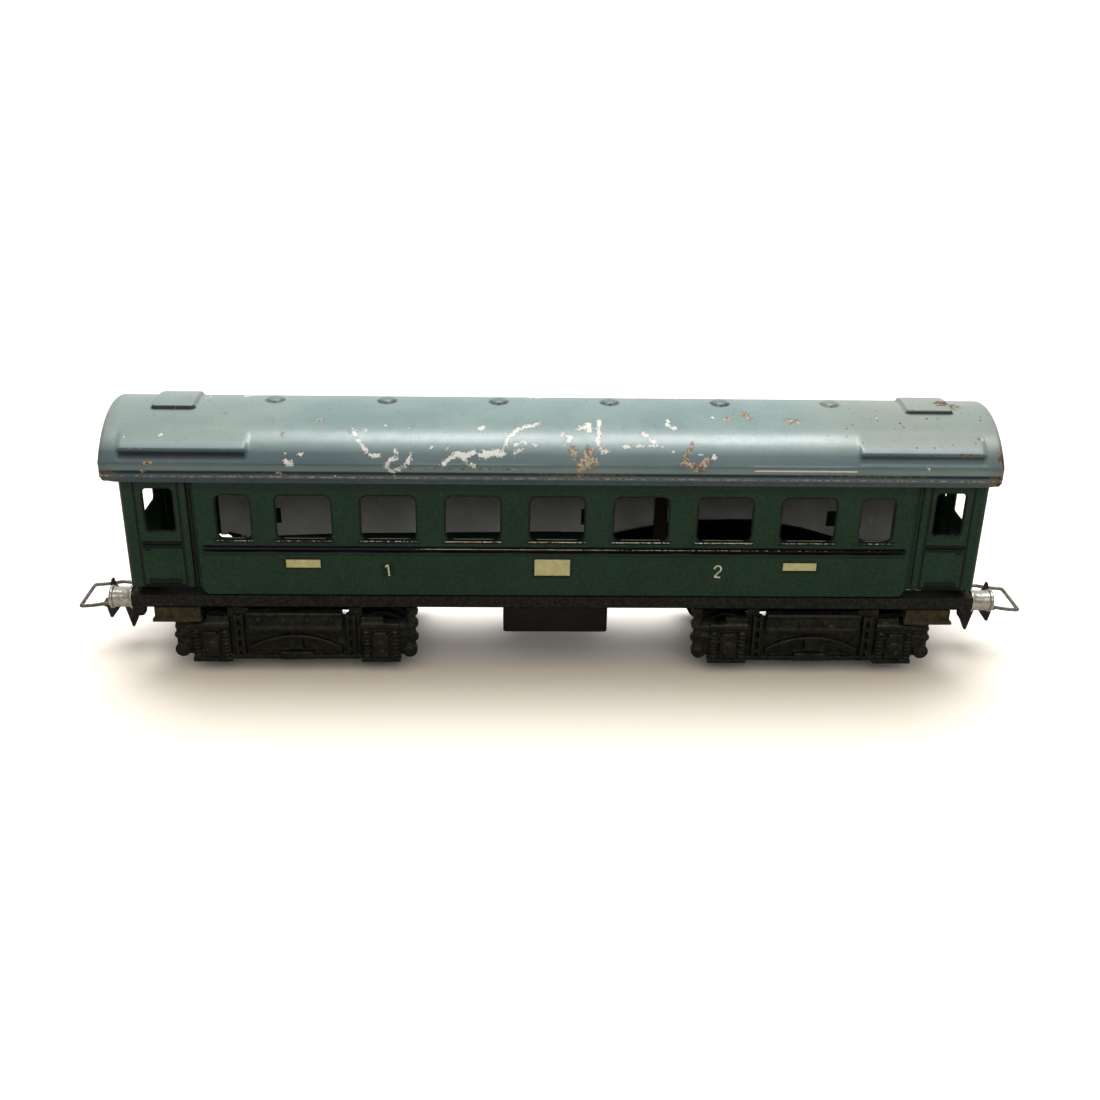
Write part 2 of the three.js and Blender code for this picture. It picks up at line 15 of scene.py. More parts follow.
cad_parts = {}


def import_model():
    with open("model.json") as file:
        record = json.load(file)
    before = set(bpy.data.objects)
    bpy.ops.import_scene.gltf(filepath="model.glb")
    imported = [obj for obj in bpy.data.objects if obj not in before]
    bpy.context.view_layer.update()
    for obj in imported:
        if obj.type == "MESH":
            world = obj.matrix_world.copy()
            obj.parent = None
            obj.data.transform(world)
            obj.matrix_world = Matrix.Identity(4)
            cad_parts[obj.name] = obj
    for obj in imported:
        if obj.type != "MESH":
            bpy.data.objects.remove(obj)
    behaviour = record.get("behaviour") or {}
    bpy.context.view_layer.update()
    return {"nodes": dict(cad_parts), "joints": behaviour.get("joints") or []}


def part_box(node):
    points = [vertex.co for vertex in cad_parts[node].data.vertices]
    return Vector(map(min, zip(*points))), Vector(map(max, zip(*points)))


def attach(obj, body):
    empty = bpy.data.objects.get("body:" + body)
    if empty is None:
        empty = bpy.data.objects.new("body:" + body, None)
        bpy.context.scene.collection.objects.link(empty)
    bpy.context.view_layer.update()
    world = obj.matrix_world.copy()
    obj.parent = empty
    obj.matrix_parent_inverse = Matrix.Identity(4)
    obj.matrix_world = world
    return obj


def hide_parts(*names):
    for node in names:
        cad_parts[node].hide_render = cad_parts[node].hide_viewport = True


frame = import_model()

MM = 0.001
ENDS = {"left": -1, "right": 1}
SIDES = {"front": -1, "back": 1}


def node_mm(node):
    """A CAD node's box in millimetres: two arrays, its lowest and its highest corner."""
    low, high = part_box(node)
    return np.array(low) / MM, np.array(high) / MM


# ---- driving sizes, read from the frame ----

ROOF_LOW, ROOF_HIGH = node_mm("roof")
WALL_LOW, WALL_HIGH = node_mm("side_wall_front")
ROOF_END = (ROOF_HIGH[0] - ROOF_LOW[0]) / 2
ROOF_MID = (ROOF_HIGH[0] + ROOF_LOW[0]) / 2   # the roof sits a little towards the left-hand end
ROOF_RIM = ROOF_LOW[2]
BODY_END = WALL_HIGH[0]
WALL_BOTTOM = WALL_LOW[2]
WALL_TOP = WALL_HIGH[2]
PROUD_Y = -WALL_LOW[1]
JOINT_POS = {j["name"]: np.array(j["pos_m"]) / MM for j in frame["joints"]}
BOGIE_X = JOINT_POS["bogie_swivel_right"][0]
AXLE_Z = JOINT_POS["wheel_roll_right_outer"][2]
WHEEL_R = node_mm("wheel_front_right_outer")[1][2] / 2

# Sizes that the frame's boxes don't tell.
DOOR_Y = PROUD_Y - 1.0          # half width over the door bays
PROUD_END = 68.5                # half length of the side's pushed-out middle
DOOR_BOTTOM = WALL_BOTTOM + 1.2
CORNER_R = 1.4                  # the body's upright corners
CORNER_RETURN_Y = 10.6          # how far the side's skin runs on across the end
WINDOW_PITCH = 16.0
WINDOW_W = 10.3
WINDOW_Z = (29.1, 38.0)
WINDOW_R = 1.25
NARROW_X = 61.2                 # the narrow window next to each door
NARROW_W = 6.3
DOOR_WINDOW_X = (72.5, 78.0)
DOOR_WINDOW_Z = (30.3, 38.8)
DOOR_X = (71.4, 79.6)
BELT_Z = 27.05
LOW_LINE_Z = 25.8               # the fine line below the belt
DOOR_BELT_Z = (27.55, 26.7)     # the wide and the fine groove across each door
KICK_PLATE_Z = (19.1, 20.0)
ROOF_R = 17.7
ROOF_TOP = 52.3
ROOF_Y = 14.7
DOME_PITCH = 21.45
COVERS = ((-76.2, -68.2, 4.5), (67.6, 76.6, 4.1))    # along the roof, and half width
SHOULDER_X = (57.3, 80.9)
SHOULDER_Z = 46.6
SHEET = 0.45                    # thickness of the roof's sheet


# ---- mesh helpers ----


def add_object(name, data):
    obj = bpy.data.objects.new(name, data)
    bpy.context.scene.collection.objects.link(obj)
    return obj


def make_object(name, verts_mm, faces):
    mesh = bpy.data.meshes.new(name)
    mesh.from_pydata([tuple(v) for v in np.asarray(verts_mm) * MM], [], faces)
    mesh.validate()
    mesh.shade_smooth()
    return add_object(name, mesh)


def edit(mesh, change):
    """Opens the mesh, has it changed and writes it back."""
    bm = bmesh.new()
    bm.from_mesh(mesh)
    change(bm)
    bm.to_mesh(mesh)
    bm.free()


def face_outwards(bm):
    bmesh.ops.recalc_face_normals(bm, faces=bm.faces)


def apply_modifiers(obj):
    """Replaces the object's mesh with the result of its modifiers."""
    bpy.context.view_layer.update()
    done = bpy.data.meshes.new_from_object(obj.evaluated_get(bpy.context.evaluated_depsgraph_get()))
    obj.modifiers.clear()
    obj.data = done
    return obj


def add_modifier(obj, kind, **settings):
    modifier = obj.modifiers.new(kind.lower(), kind)
    for key, value in settings.items():
        setattr(modifier, key, value)


def smooth_by_angle(obj, degrees):
    """Smooth shading that keeps edges sharper than the angle."""
    def change(bm):
        for edge in bm.edges:
            edge.smooth = len(edge.link_faces) == 2 and edge.calc_face_angle(0) < math.radians(degrees)
        for face in bm.faces:
            face.smooth = True

    edit(obj.data, change)
    return obj


def half_turn(obj):
    obj.data.transform(Matrix.Rotation(math.pi, 4, "Z"))


def mirror(obj, axis):
    for vertex in obj.data.vertices:
        vertex.co[axis] = -vertex.co[axis]
    obj.data.flip_normals()


def finish_piece(obj, body, look, *nodes):
    """Gives a piece its material and its body."""
    obj.data.materials.clear()
    obj.data.materials.append(MATERIALS[look])
    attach(obj, body)
    SHARED_SLOTS.get(look, look)
    if nodes:
        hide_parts(*nodes)


def lines(low, high, step, fine=(), stops=()):
    """Sorted positions from low to high: about a step apart, closer inside each (centre, half, step) of fine, and
    exactly on every stop."""
    marks = {low, high, *[s for s in stops if low < s < high]}
    for centre, half, _ in fine:
        marks.update(m for m in (centre - half, centre + half) if low < m < high)
    marks = sorted(marks)
    out = [marks[0]]
    for a, b in zip(marks, marks[1:]):
        middle = (a + b) / 2
        local = min([step] + [s for centre, half, s in fine if abs(middle - centre) <= half])
        count = max(1, round((b - a) / local))
        out.extend(a + (b - a) * (k + 1) / count for k in range(count))
    kept = [out[0]]
    for value in out[1:]:
        if value - kept[-1] > 1e-4:
            kept.append(value)
    return np.array(kept)


def mirrored(*entries):
    """Each (centre, half, step) entry at its place and at the opposite one."""
    return [(sign * centre, half, step) for centre, half, step in entries for sign in (-1, 1)]


def ramp(x, low, high):
    t = np.clip((x - low) / (high - low), 0, 1)
    return t * t * (3 - 2 * t)


def bump(x, centre, half, soft):
    """1 within half of the centre, falling smoothly to 0 over soft on either side."""
    return 1 - ramp(np.abs(x - centre), half, half + soft)


def between(x, start, on, off, end):
    """Rises smoothly to 1 from start to on, and falls back to 0 from off to end."""
    return ramp(x, start, on) * (1 - ramp(x, off, end))


def rounded_distance(a, b, a0, a1, b0, b1, r):
    """Signed distance to a rounded rectangle, negative inside."""
    qa = np.abs(a - (a0 + a1) / 2) - (a1 - a0) / 2 + r
    qb = np.abs(b - (b0 + b1) / 2) - (b1 - b0) / 2 + r
    outside = np.hypot(np.maximum(qa, 0), np.maximum(qb, 0))
    return outside + np.minimum(np.maximum(qa, qb), 0) - r


def round_corners(a, b, hole, reach=1.1):
    """Moves grid points round a square hole so that its corners follow the hole's radius."""
    a0, a1, b0, b1, r = hole
    ca, cb = (a0 + a1) / 2, (b0 + b1) / 2
    na = np.clip(a, a0, a1)
    nb = np.clip(b, b0, b1)
    far = np.hypot(a - na, b - nb)
    sa, sb = np.sign(a - ca), np.sign(b - cb)
    wa = ca + sa * ((a1 - a0) / 2 - r)
    wb = cb + sb * ((b1 - b0) / 2 - r)
    da, db = (na - wa) * sa, (nb - wb) * sb
    corner = (da > 0) & (db > 0)
    length = np.maximum(np.hypot(da, db), 1e-9)
    weight = np.where(corner, np.clip(1 - far / reach, 0, 1), 0)
    a = a + weight * sa * da * (r / length - 1) * (length > r)
    b = b + weight * sb * db * (r / length - 1) * (length > r)
    return a, b


def signed_volume(verts, quads):
    """Six times the volume that the quads enclose, negative if they face inwards."""
    p, q, r, s = (verts[quads[:, k]] for k in range(4))
    return np.sum(np.cross(p, q) * r) + np.sum(np.cross(p, r) * s)


def pressed_sheet(name, a_lines, b_lines, place, holes=(), thickness=SHEET, warp=None, fields=None):
    """A sheet-metal pressing: a grid of (a, b) positions with rounded holes, put in space by place(a, b, inset), and
    given its thickness by a second skin at inset=thickness. fields(a, b) gives named numbers for the outer skin."""
    a, b = np.meshgrid(a_lines, b_lines, indexing="ij")
    for hole in holes:
        a, b = round_corners(a, b, hole)
    if warp:
        a, b = warp(a, b)
    outer, inner = place(a, b, 0.0), place(a, b, thickness)
    na, nb = a.shape
    index = np.arange(na * nb).reshape(na, nb)
    ca = (a_lines[:-1] + a_lines[1:]) / 2
    cb = (b_lines[:-1] + b_lines[1:]) / 2
    keep = np.ones((na - 1, nb - 1), bool)
    for a0, a1, b0, b1, _ in holes:
        keep &= ~(((ca > a0) & (ca < a1))[:, None] & ((cb > b0) & (cb < b1))[None, :])
    quads, edges = [], {}
    total = na * nb
    for i, j in zip(*np.nonzero(keep)):
        q = (index[i, j], index[i + 1, j], index[i + 1, j + 1], index[i, j + 1])
        quads.append(q)
        quads.append(tuple(v + total for v in reversed(q)))
        for u, v in zip(q, q[1:] + q[:1]):
            if (v, u) in edges:
                del edges[(v, u)]
            else:
                edges[(u, v)] = True
    quads.extend((v, u, u + total, v + total) for u, v in edges)
    verts = np.concatenate([outer.reshape(-1, 3), inner.reshape(-1, 3)])
    used = np.zeros(len(verts), bool)
    used[np.unique(np.array(quads).ravel())] = True
    renumber = np.cumsum(used) - 1
    faces = renumber[np.array(quads)]
    if signed_volume(verts[used], faces) < 0:
        faces = faces[:, ::-1]
    obj = make_object(name, verts[used], faces.tolist())
    if fields:
        for key, values in fields(a, b).items():
            both = np.concatenate([values.ravel(), values.ravel() * 0])[used]
            layer = obj.data.attributes.new(key, "FLOAT", "POINT")
            layer.data.foreach_set("value", both.astype(np.float32))
    return smooth_by_angle(obj, 50)


def refine(node, name, width=0.12, segments=3, angle=25):
    """A copy of a CAD node's solid with its edges rounded, to stand for it."""
    def clean(bm):
        bmesh.ops.remove_doubles(bm, verts=bm.verts, dist=1e-6)
        bmesh.ops.dissolve_limit(bm, angle_limit=math.radians(1.5), verts=bm.verts, edges=bm.edges)

    mesh = frame["nodes"][node].data.copy()
    edit(mesh, clean)
    obj = add_object(name, mesh)
    add_modifier(obj, "BEVEL", width=width * MM, segments=segments, limit_method="ANGLE",
                 angle_limit=math.radians(angle), use_clamp_overlap=True)
    apply_modifiers(obj)
    return smooth_by_angle(obj, 40)


def circle(count):
    """Evenly spaced directions round a circle, each as its cosine and sine."""
    return [(math.cos(2 * math.pi * k / count), math.sin(2 * math.pi * k / count)) for k in range(count)]


def turned(name, profile, axis, centre, segments=64):
    """A solid of revolution. The profile lists (radius, distance along the axis) from axis to axis or round a ring."""
    ring = not (profile[0][0] == 0 and profile[-1][0] == 0)
    verts, faces, rows = [], [], []
    for r, d in profile:
        corners = [(r * v, r * u, d) for u, v in circle(segments)] if r else [(0, 0, d)]
        rows.append(range(len(verts), len(verts) + len(corners)))
        verts += corners
    for low, high in list(zip(rows, rows[1:])) + ([(rows[-1], rows[0])] if ring else []):
        for k in range(segments):
            k2 = (k + 1) % segments
            quad = [low[k % len(low)], low[k2 % len(low)], high[k2 % len(high)], high[k % len(high)]]
            unique = list(dict.fromkeys(quad))
            if len(unique) > 2:
                faces.append(tuple(reversed(unique)))
    verts = np.array(verts, float)[:, {"x": [2, 0, 1], "y": [1, 2, 0]}[axis]]
    obj = make_object(name, verts + np.array(centre), faces)
    edit(obj.data, face_outwards)
    return smooth_by_angle(obj, 40)


def bent(points, radius, steps=3, share=2.2):
    """The path with its inner corners rounded. A bend takes up the radius, or a span's length over share if less."""
    points = [np.array(p, float) for p in points]
    out = [points[0]]
    for before, here, after in zip(points, points[1:], points[2:]):
        back, on = np.linalg.norm(before - here), np.linalg.norm(after - here)
        reach = min(radius, back / share, on / share)
        start = here + (before - here) / back * reach
        end = here + (after - here) / on * reach
        for k in range(steps + 1):
            t = k / steps
            out.append((1 - t) ** 2 * start + 2 * t * (1 - t) * here + t * t * end)
    return out + [points[-1]]


def tube(rows):
    """Faces between each row of corners and the next, and a cap over either end."""
    faces = []
    for low, high in zip(rows, rows[1:]):
        for k in range(len(low)):
            k2 = (k + 1) % len(low)
            faces.append((low[k], low[k2], high[k2], high[k]))
    return faces + [list(reversed(rows[0])), list(rows[-1])]


def wire(name, points, radius, sides=20, bend=0.6):
    """A drawn wire along straight spans joined by bends, closed at both ends."""
    path = np.array(bent(points, bend, 10, 2.1))
    tangents = np.gradient(path, axis=0)
    tangents /= np.linalg.norm(tangents, axis=1)[:, None]
    normal = np.cross(tangents[0], (0.3, 0.1, 1.0))
    rows, verts = [], []
    for point, tangent in zip(path, tangents):
        normal = normal - tangent * np.dot(normal, tangent)
        normal /= np.linalg.norm(normal)
        side = np.cross(tangent, normal)
        rows.append(range(len(verts), len(verts) + sides))
        verts += [point + radius * (u * normal + v * side) for u, v in circle(sides)]
    return smooth_by_angle(make_object(name, verts, tube(rows)), 60)


# ---- material helpers ----


class Shade:
    """Builds one material's node tree. Lengths in textures are millimetres, measured in the coach's own frame."""

    def __init__(self, name, metallic=0.0, coat=0.0, specular=0.3):
        self.material = bpy.data.materials.new(name)
        self.material.use_nodes = True
        self.tree = self.material.node_tree
        self.tree.nodes.clear()
        out = self.add("ShaderNodeOutputMaterial")
        self.shader = self.add("ShaderNodeBsdfPrincipled", {"Metallic": metallic, "Specular IOR Level": specular,
                                                            "Coat Weight": coat})
        self.tree.links.new(self.shader.outputs[0], out.inputs[0])
        self.place = self.add("ShaderNodeTexCoord").outputs["Object"]

    def add(self, kind, values=(), **props):
        node = self.tree.nodes.new(kind)
        for key, value in props.items():
            setattr(node, key, value)
        for key, value in dict(values).items():
            self.put(node.inputs[key], value)
        return node

    def put(self, socket, value):
        if isinstance(value, bpy.types.NodeSocket):
            self.tree.links.new(value, socket)
        elif isinstance(value, (tuple, list)) and len(value) == 3 and socket.type == "RGBA":
            socket.default_value = (*value, 1)
        else:
            socket.default_value = value

    def noise(self, size_mm, detail=4.0, roughness=0.55, stretch=(1, 1, 1)):
        scaled = self.add("ShaderNodeMapping", {"Vector": self.place, "Scale": stretch}).outputs[0]
        return self.add("ShaderNodeTexNoise", {"Vector": scaled, "Scale": 1 / (size_mm * MM), "Detail": detail,
                                               "Roughness": roughness}).outputs["Fac"]

    def speckle(self, size_mm):
        values = {"Vector": self.place, "Scale": 1 / (size_mm * MM)}
        return self.add("ShaderNodeTexVoronoi", values).outputs["Distance"]

    def math(self, operation, a, b, clamp=False):
        return self.add("ShaderNodeMath", {0: a, 1: b}, operation=operation, use_clamp=clamp).outputs[0]

    def plus(self, a, b, clamp=False):
        return self.math("ADD", a, b, clamp)

    def times(self, a, b):
        return self.math("MULTIPLY", a, b)

    def inverse(self, value):
        return self.math("SUBTRACT", 1.0, value)

    def most(self, first, *others):
        """The largest of the values."""
        for value in others:
            first = self.math("MAXIMUM", first, value)
        return first

    def step(self, value, low, high, to_low=0.0, to_high=1.0):
        return self.add("ShaderNodeMapRange", {"Value": value, "From Min": low, "From Max": high,
                                               "To Min": to_low, "To Max": to_high},
                        interpolation_type="SMOOTHSTEP").outputs[0]

    def uneven(self, noise, low, high):
        """A number that wanders between low and high with a noise, which is given as its arguments."""
        return self.step(self.noise(*noise), 0.3, 0.7, low, high)

    def wobble(self, height, noise, middle=0.5):
        """A noise about 0, to break up an edge."""
        return self.times(self.math("SUBTRACT", self.noise(*noise), middle), height)

    def mix(self, factor, a, b):
        node = self.add("ShaderNodeMix", {"Factor": factor}, data_type="RGBA")
        self.put(node.inputs[6], a)
        self.put(node.inputs[7], b)
        return node.outputs[2]

    def over(self, colour, new, noise, low, high, strength=1.0):
        """Lays a new colour over the first where a noise rises from low to high."""
        return self.mix(self.step(self.noise(*noise), low, high, 0, strength), colour, new)

    def attribute(self, name):
        return self.add("ShaderNodeAttribute", attribute_name=name).outputs["Fac"]

    def up(self):
        """How far the surface faces up, from -1 to 1."""
        normal = self.add("ShaderNodeNewGeometry").outputs["Normal"]
        return self.add("ShaderNodeSeparateXYZ", {0: normal}).outputs["Z"]

    def pointed(self, low, high, to_low=0.0, to_high=1.0):
        """Steps with how convex the surface is: above 0.5 on outer edges, below it in hollows."""
        return self.step(self.add("ShaderNodeNewGeometry").outputs["Pointiness"], low, high, to_low, to_high)

    def relief(self, *layers):
        """Bump from (height socket or noise arguments, height in mm) pairs."""
        normal = None
        for height, size in layers:
            height = self.noise(*height) if isinstance(height, tuple) else height
            values = {"Height": height, "Strength": 1.0, "Distance": size * MM}
            if normal is not None:
                values["Normal"] = normal
            normal = self.add("ShaderNodeBump", values).outputs[0]
        self.put(self.shader.inputs["Normal"], normal)

    def finish(self, colour, roughness):
        self.put(self.shader.inputs["Base Color"], colour)
        self.put(self.shader.inputs["Roughness"], roughness)
        return self.material


# ---- materials ----

ROOF_BLUE = (0.225, 0.330, 0.318)
ROOF_BLUE_PALE = (0.275, 0.380, 0.358)
COACH_GREEN = (0.0080, 0.0440, 0.0200)
COACH_GREEN_PALE = (0.0130, 0.0560, 0.0275)
BARE_TIN_AND_HIGHLIGHT = (0.94, 0.94, 0.90)
PRIMER_AND_HIGHLIGHT = (0.86, 0.83, 0.71)
RUST = (0.150, 0.060, 0.028)
DARK_RUST = (0.060, 0.030, 0.018)


def roof_material():
    s = Shade("roof_lacquer", coat=0.25, specular=0.45)
    s.put(s.shader.inputs["Coat Roughness"], 0.16)
    colour = s.over(ROOF_BLUE, ROOF_BLUE_PALE, (9, 5), 0.35, 0.7)
    colour = s.over(colour, (0.16, 0.205, 0.19), (3.0, 6, 0.6, (0.35, 1.6, 1.6)), 0.55, 0.8, 0.3)
    colour = s.over(colour, (0.13, 0.17, 0.16), (0.2, 3, 0.7), 0.40, 0.62, 0.32)
    # darkening towards the ends and painted shade in the rolled rim's fold, round the covers and round the domes, then
    # dust, then painted shade on the lower roof, under the shoulders' lips, in the crease and on the covers' front
    # faces
    grime = s.times(s.attribute("grime"), s.step(s.noise(1.4, 6, 0.65), 0.35, 0.65, 0.6, 1.0))
    colour = s.mix(grime, colour, (0.060, 0.072, 0.064))
    colour = s.mix(s.attribute("dust"), colour, s.mix(s.noise(5, 5, 0.6), (0.30, 0.34, 0.27), (0.36, 0.355, 0.30)))
    colour = s.mix(s.attribute("soot"), colour, (0.038, 0.072, 0.100))
    colour = s.mix(s.attribute("dark"), colour, (0.006, 0.013, 0.026))
    # small dark pits, thicker where the attribute says
    pits = s.times(s.step(s.math("SUBTRACT", s.attribute("pitted"), s.speckle(1.5)), 0.05, 0.12),
                   s.step(s.noise(2.3, 3), 0.48, 0.60))
    colour = s.mix(s.times(pits, 0.75), colour, (0.055, 0.060, 0.050))
    # rust specks and stains
    speck_field = s.plus(s.attribute("rust"), s.wobble(2.0, (0.6, 5, 0.65)))
    specks = s.step(speck_field, 0.58, 0.70)
    colour = s.mix(s.step(speck_field, 0.18, 0.62, 0, 0.5), colour, (0.25, 0.19, 0.10))
    colour = s.mix(specks, colour, s.mix(s.noise(0.4), RUST, DARK_RUST))
    # losses, and a painted highlight along the right-hand crimp's crest in the same bare-metal colours: the edge of
    # each is broken up by noise
    ragged = s.plus(s.wobble(2.6, (1.3, 6, 0.7), 0.54), s.wobble(2.0, (0.4, 4, 0.7)))
    loss_and_highlight = s.plus(s.attribute("chip"), ragged)
    rusty_loss = s.plus(s.attribute("rusted"), s.times(ragged, 1.3))
    margin = s.most(s.step(loss_and_highlight, -0.16, -0.02), s.step(rusty_loss, -0.22, -0.02))
    bare_and_highlight = s.step(loss_and_highlight, -0.03, 0.04)
    rusted = s.step(rusty_loss, -0.03, 0.05)
    colour = s.mix(s.times(margin, 0.35), colour, (0.13, 0.12, 0.09))
    colour = s.mix(rusted, colour, s.over((0.56, 0.50, 0.38), (0.22, 0.115, 0.055), (0.55, 5, 0.7), 0.44, 0.56))
    colour = s.mix(bare_and_highlight, colour, s.mix(s.noise(1.1, 4), PRIMER_AND_HIGHLIGHT, BARE_TIN_AND_HIGHLIGHT))
    # the worn line along the rim, with painted highlight along the shoulders' lips and the left-hand crimp's crest in
    # the same colours
    worn_line_and_highlight = s.plus(s.attribute("edge"), s.wobble(1.6, (0.8, 6, 0.7, (0.5, 1, 1))))
    colour = s.mix(s.step(worn_line_and_highlight, 0.48, 0.64), colour,
                   s.over((0.15, 0.115, 0.085), (0.42, 0.38, 0.31), (0.9, 5, 0.7), 0.42, 0.58))
    shade = s.most(s.attribute("dark"), s.attribute("soot"))
    s.put(s.shader.inputs["Coat Weight"], s.step(shade, 0, 0.7, 0.25, 0))
    dull = s.most(bare_and_highlight, rusted, specks, grime, s.step(shade, 0, 0.9, 0, 1.6))
    s.relief(((7.0, 2), 0.05), ((0.35, 3), 0.005), (s.inverse(s.most(bare_and_highlight, rusted)), 0.03), (s.inverse(pits), 0.02))
    return s.finish(colour, s.plus(s.uneven((2.2, 5, 0.6), 0.27, 0.37), s.times(dull, 0.25)))


def green_material():
    s = Shade("coach_lacquer", coat=0.05, specular=0.2)
    colour = s.over(COACH_GREEN, COACH_GREEN_PALE, (11, 5), 0.35, 0.7)
    colour = s.over(colour, (0.0125, 0.052, 0.037), (6, 4, 0.6, (1.6, 1, 1)), 0.50, 0.66, 0.6)
    colour = s.over(colour, (0.034, 0.052, 0.016), (4.5, 5, 0.6), 0.54, 0.72, 0.6)
    colour = s.over(colour, (0.040, 0.076, 0.046), (0.45, 3, 0.6), 0.42, 0.66, 0.5)
    colour = s.over(colour, (0.004, 0.018, 0.008), (0.22, 3, 0.7), 0.46, 0.62, 0.6)
    # painted shade: faces that look up turn near black, as do the grooves, recesses and outlines that the attribute
    # marks
    ledge_shade = s.step(s.up(), 0.35, 0.75)
    grime = s.times(s.attribute("grime"), s.step(s.noise(0.8, 6, 0.65), 0.3, 0.55, 0.75, 1.0))
    colour = s.mix(s.most(grime, ledge_shade), colour, (0.0018, 0.0030, 0.0020))
    # pale lines along edges, partly wear and partly painted highlight
    wear = s.step(s.plus(s.attribute("wear"), s.wobble(1.8, (0.7, 6, 0.7, (0.6, 1, 1)))), 0.60, 0.80)
    colour = s.mix(s.times(wear, 0.8), colour, s.mix(s.noise(0.9), (0.085, 0.105, 0.075), (0.16, 0.16, 0.13)))
    # painted highlights along the belt's ridge and the sills, cream and gold, and a painted violet reflection along the
    # belt towards the left; none on faces that look up
    downward = s.inverse(ledge_shade)
    broken = s.wobble(1.5, (0.42, 4, 0.7))
    glint = s.times(s.step(s.plus(s.attribute("glint"), broken), 0.56, 0.66), downward)
    violet = s.times(s.step(s.plus(s.attribute("violet"), s.times(broken, 0.4)), 0.3, 0.6), downward)
    colour = s.mix(glint, colour, s.over((0.85, 0.83, 0.70), (0.66, 0.56, 0.26), (3, 3), 0.42, 0.6))
    colour = s.mix(violet, colour, s.mix(s.noise(2.5, 3), (0.030, 0.024, 0.11), (0.20, 0.08, 0.27)))
    s.relief(((6.0, 2), 0.035), ((0.4, 3), 0.004), (s.inverse(wear), 0.01))
    return s.finish(colour, s.plus(s.uneven((2.5, 5, 0.6), 0.27, 0.40), s.times(ledge_shade, 0.6), True))


def black_material(name, base, worn, amount, specular):
    s = Shade(name, specular=specular)
    colour = s.over(base, tuple(c * 1.7 for c in base), (4, 5), 0.35, 0.7)
    edge = s.times(s.pointed(0.52, 0.575), s.step(s.noise(0.8, 5, 0.7), 0.42, 0.62))
    colour = s.mix(s.times(edge, amount), colour, worn)
    dust = s.times(s.step(s.up(), 0.2, 1.0), s.step(s.noise(1.6, 6, 0.65), 0.35, 0.75, 0.1, 0.5))
    colour = s.mix(dust, colour, (0.022, 0.021, 0.014))
    colour = s.over(colour, (0.022, 0.022, 0.016), (0.3, 4, 0.7), 0.56, 0.66, 0.3)
    s.relief(((5.0, 2), 0.03), ((0.3, 3), 0.005))
    return s.finish(colour, s.uneven((1.8, 5), 0.36, 0.55))


def casting_material():
    s = Shade("bogie_casting", specular=0.25)
    dark, olive, brown = (0.0036, 0.0040, 0.0024), (0.026, 0.029, 0.011), (0.028, 0.021, 0.008)
    colour = s.over(dark, olive, (2.2, 6, 0.65), 0.36, 0.66)
    colour = s.over(colour, brown, (3.1, 5, 0.6), 0.50, 0.66, 0.7)
    colour = s.over(colour, (0.0030, 0.0032, 0.0022), (0.28, 3, 0.7), 0.42, 0.62, 0.6)
    edge = s.times(s.pointed(0.524, 0.59), s.step(s.noise(0.7, 5, 0.7), 0.38, 0.58))
    colour = s.mix(s.times(edge, 0.7), colour, (0.085, 0.085, 0.055))
    # painted shade: hollows turn near black
    colour = s.mix(s.times(s.pointed(0.42, 0.5, 1, 0), 0.8), colour, (0.0020, 0.0020, 0.0015))
    dust = s.times(s.step(s.up(), -0.1, 0.9), s.step(s.noise(1.1, 6, 0.7), 0.4, 0.7, 0.05, 0.7))
    colour = s.mix(dust, colour, (0.055, 0.048, 0.030))
    colour = s.over(colour, (0.13, 0.125, 0.09), (0.5, 4, 0.6), 0.66, 0.72, 0.7)
    s.relief(((1.3, 4), 0.08), ((0.25, 4, 0.65), 0.02))
    return s.finish(colour, s.uneven((0.8, 5), 0.40, 0.70))


def zinc_material():
    s = Shade("zinc", metallic=0.85)
    colour = s.over((0.56, 0.54, 0.48), (0.72, 0.71, 0.67), (1.5, 5, 0.6), 0.35, 0.7)
    stain = s.step(s.noise(0.8, 6, 0.7), 0.50, 0.62, 0, 0.8)
    colour = s.mix(stain, colour, s.mix(s.noise(1.6, 3), (0.10, 0.085, 0.055), (0.46, 0.40, 0.22)))
    s.relief(((1.2, 3), 0.015), ((0.18, 3), 0.004))
    s.put(s.shader.inputs["Metallic"], s.step(stain, 0, 1, 0.85, 0.3))
    return s.finish(colour, s.uneven((0.7, 5), 0.26, 0.45))


def lining_material():
    s = Shade("lining_grey")
    colour = s.over((0.74, 0.73, 0.70), (0.84, 0.825, 0.79), (5, 4), 0.35, 0.7)
    colour = s.over(colour, (0.42, 0.41, 0.39), (0.45, 4, 0.7), 0.45, 0.75, 0.25)
    colour = s.mix(s.attribute("scratch"), colour, (0.97, 0.97, 0.96))
    # painted shade: faces that look up turn near black
    colour = s.mix(s.step(s.up(), 0.3, 0.7), colour, (0.008, 0.008, 0.006))
    s.relief(((0.3, 3), 0.004))
    return s.finish(colour, s.uneven((1.5, 3), 0.7, 0.85))


def fibre_material():
    s = Shade("vulcanised_fibre")
    colour = s.mix(s.noise(1.2, 6, 0.6, (6, 1, 1)), (0.018, 0.012, 0.008), (0.040, 0.026, 0.016))
    s.relief(((0.3, 4, 0.6, (6, 1, 1)), 0.01))
    return s.finish(colour, s.uneven((1.0,), 0.55, 0.7))


def plain_material(name, tones, relief, sheen, **settings):
    """The first of tones is a colour; each other is laid over it as (colour, noise, low, high, strength)."""
    s = Shade(name, **settings)
    colour = tones[0]
    for tone in tones[1:]:
        colour = s.over(colour, *tone)
    if relief:
        s.relief(*relief)
    return s.finish(colour, s.uneven(*sheen))


def steel_material(name, bright, dark, metallic, sheen):
    tones = (bright, (dark, (0.9, 5, 0.65), 0.38, 0.66), (DARK_RUST, (0.5, 5, 0.7), 0.62, 0.72, 0.6))
    return plain_material(name, tones, [((0.15, 3), 0.004)], ((0.8, 4), sheen, sheen + 0.2), metallic=metallic)


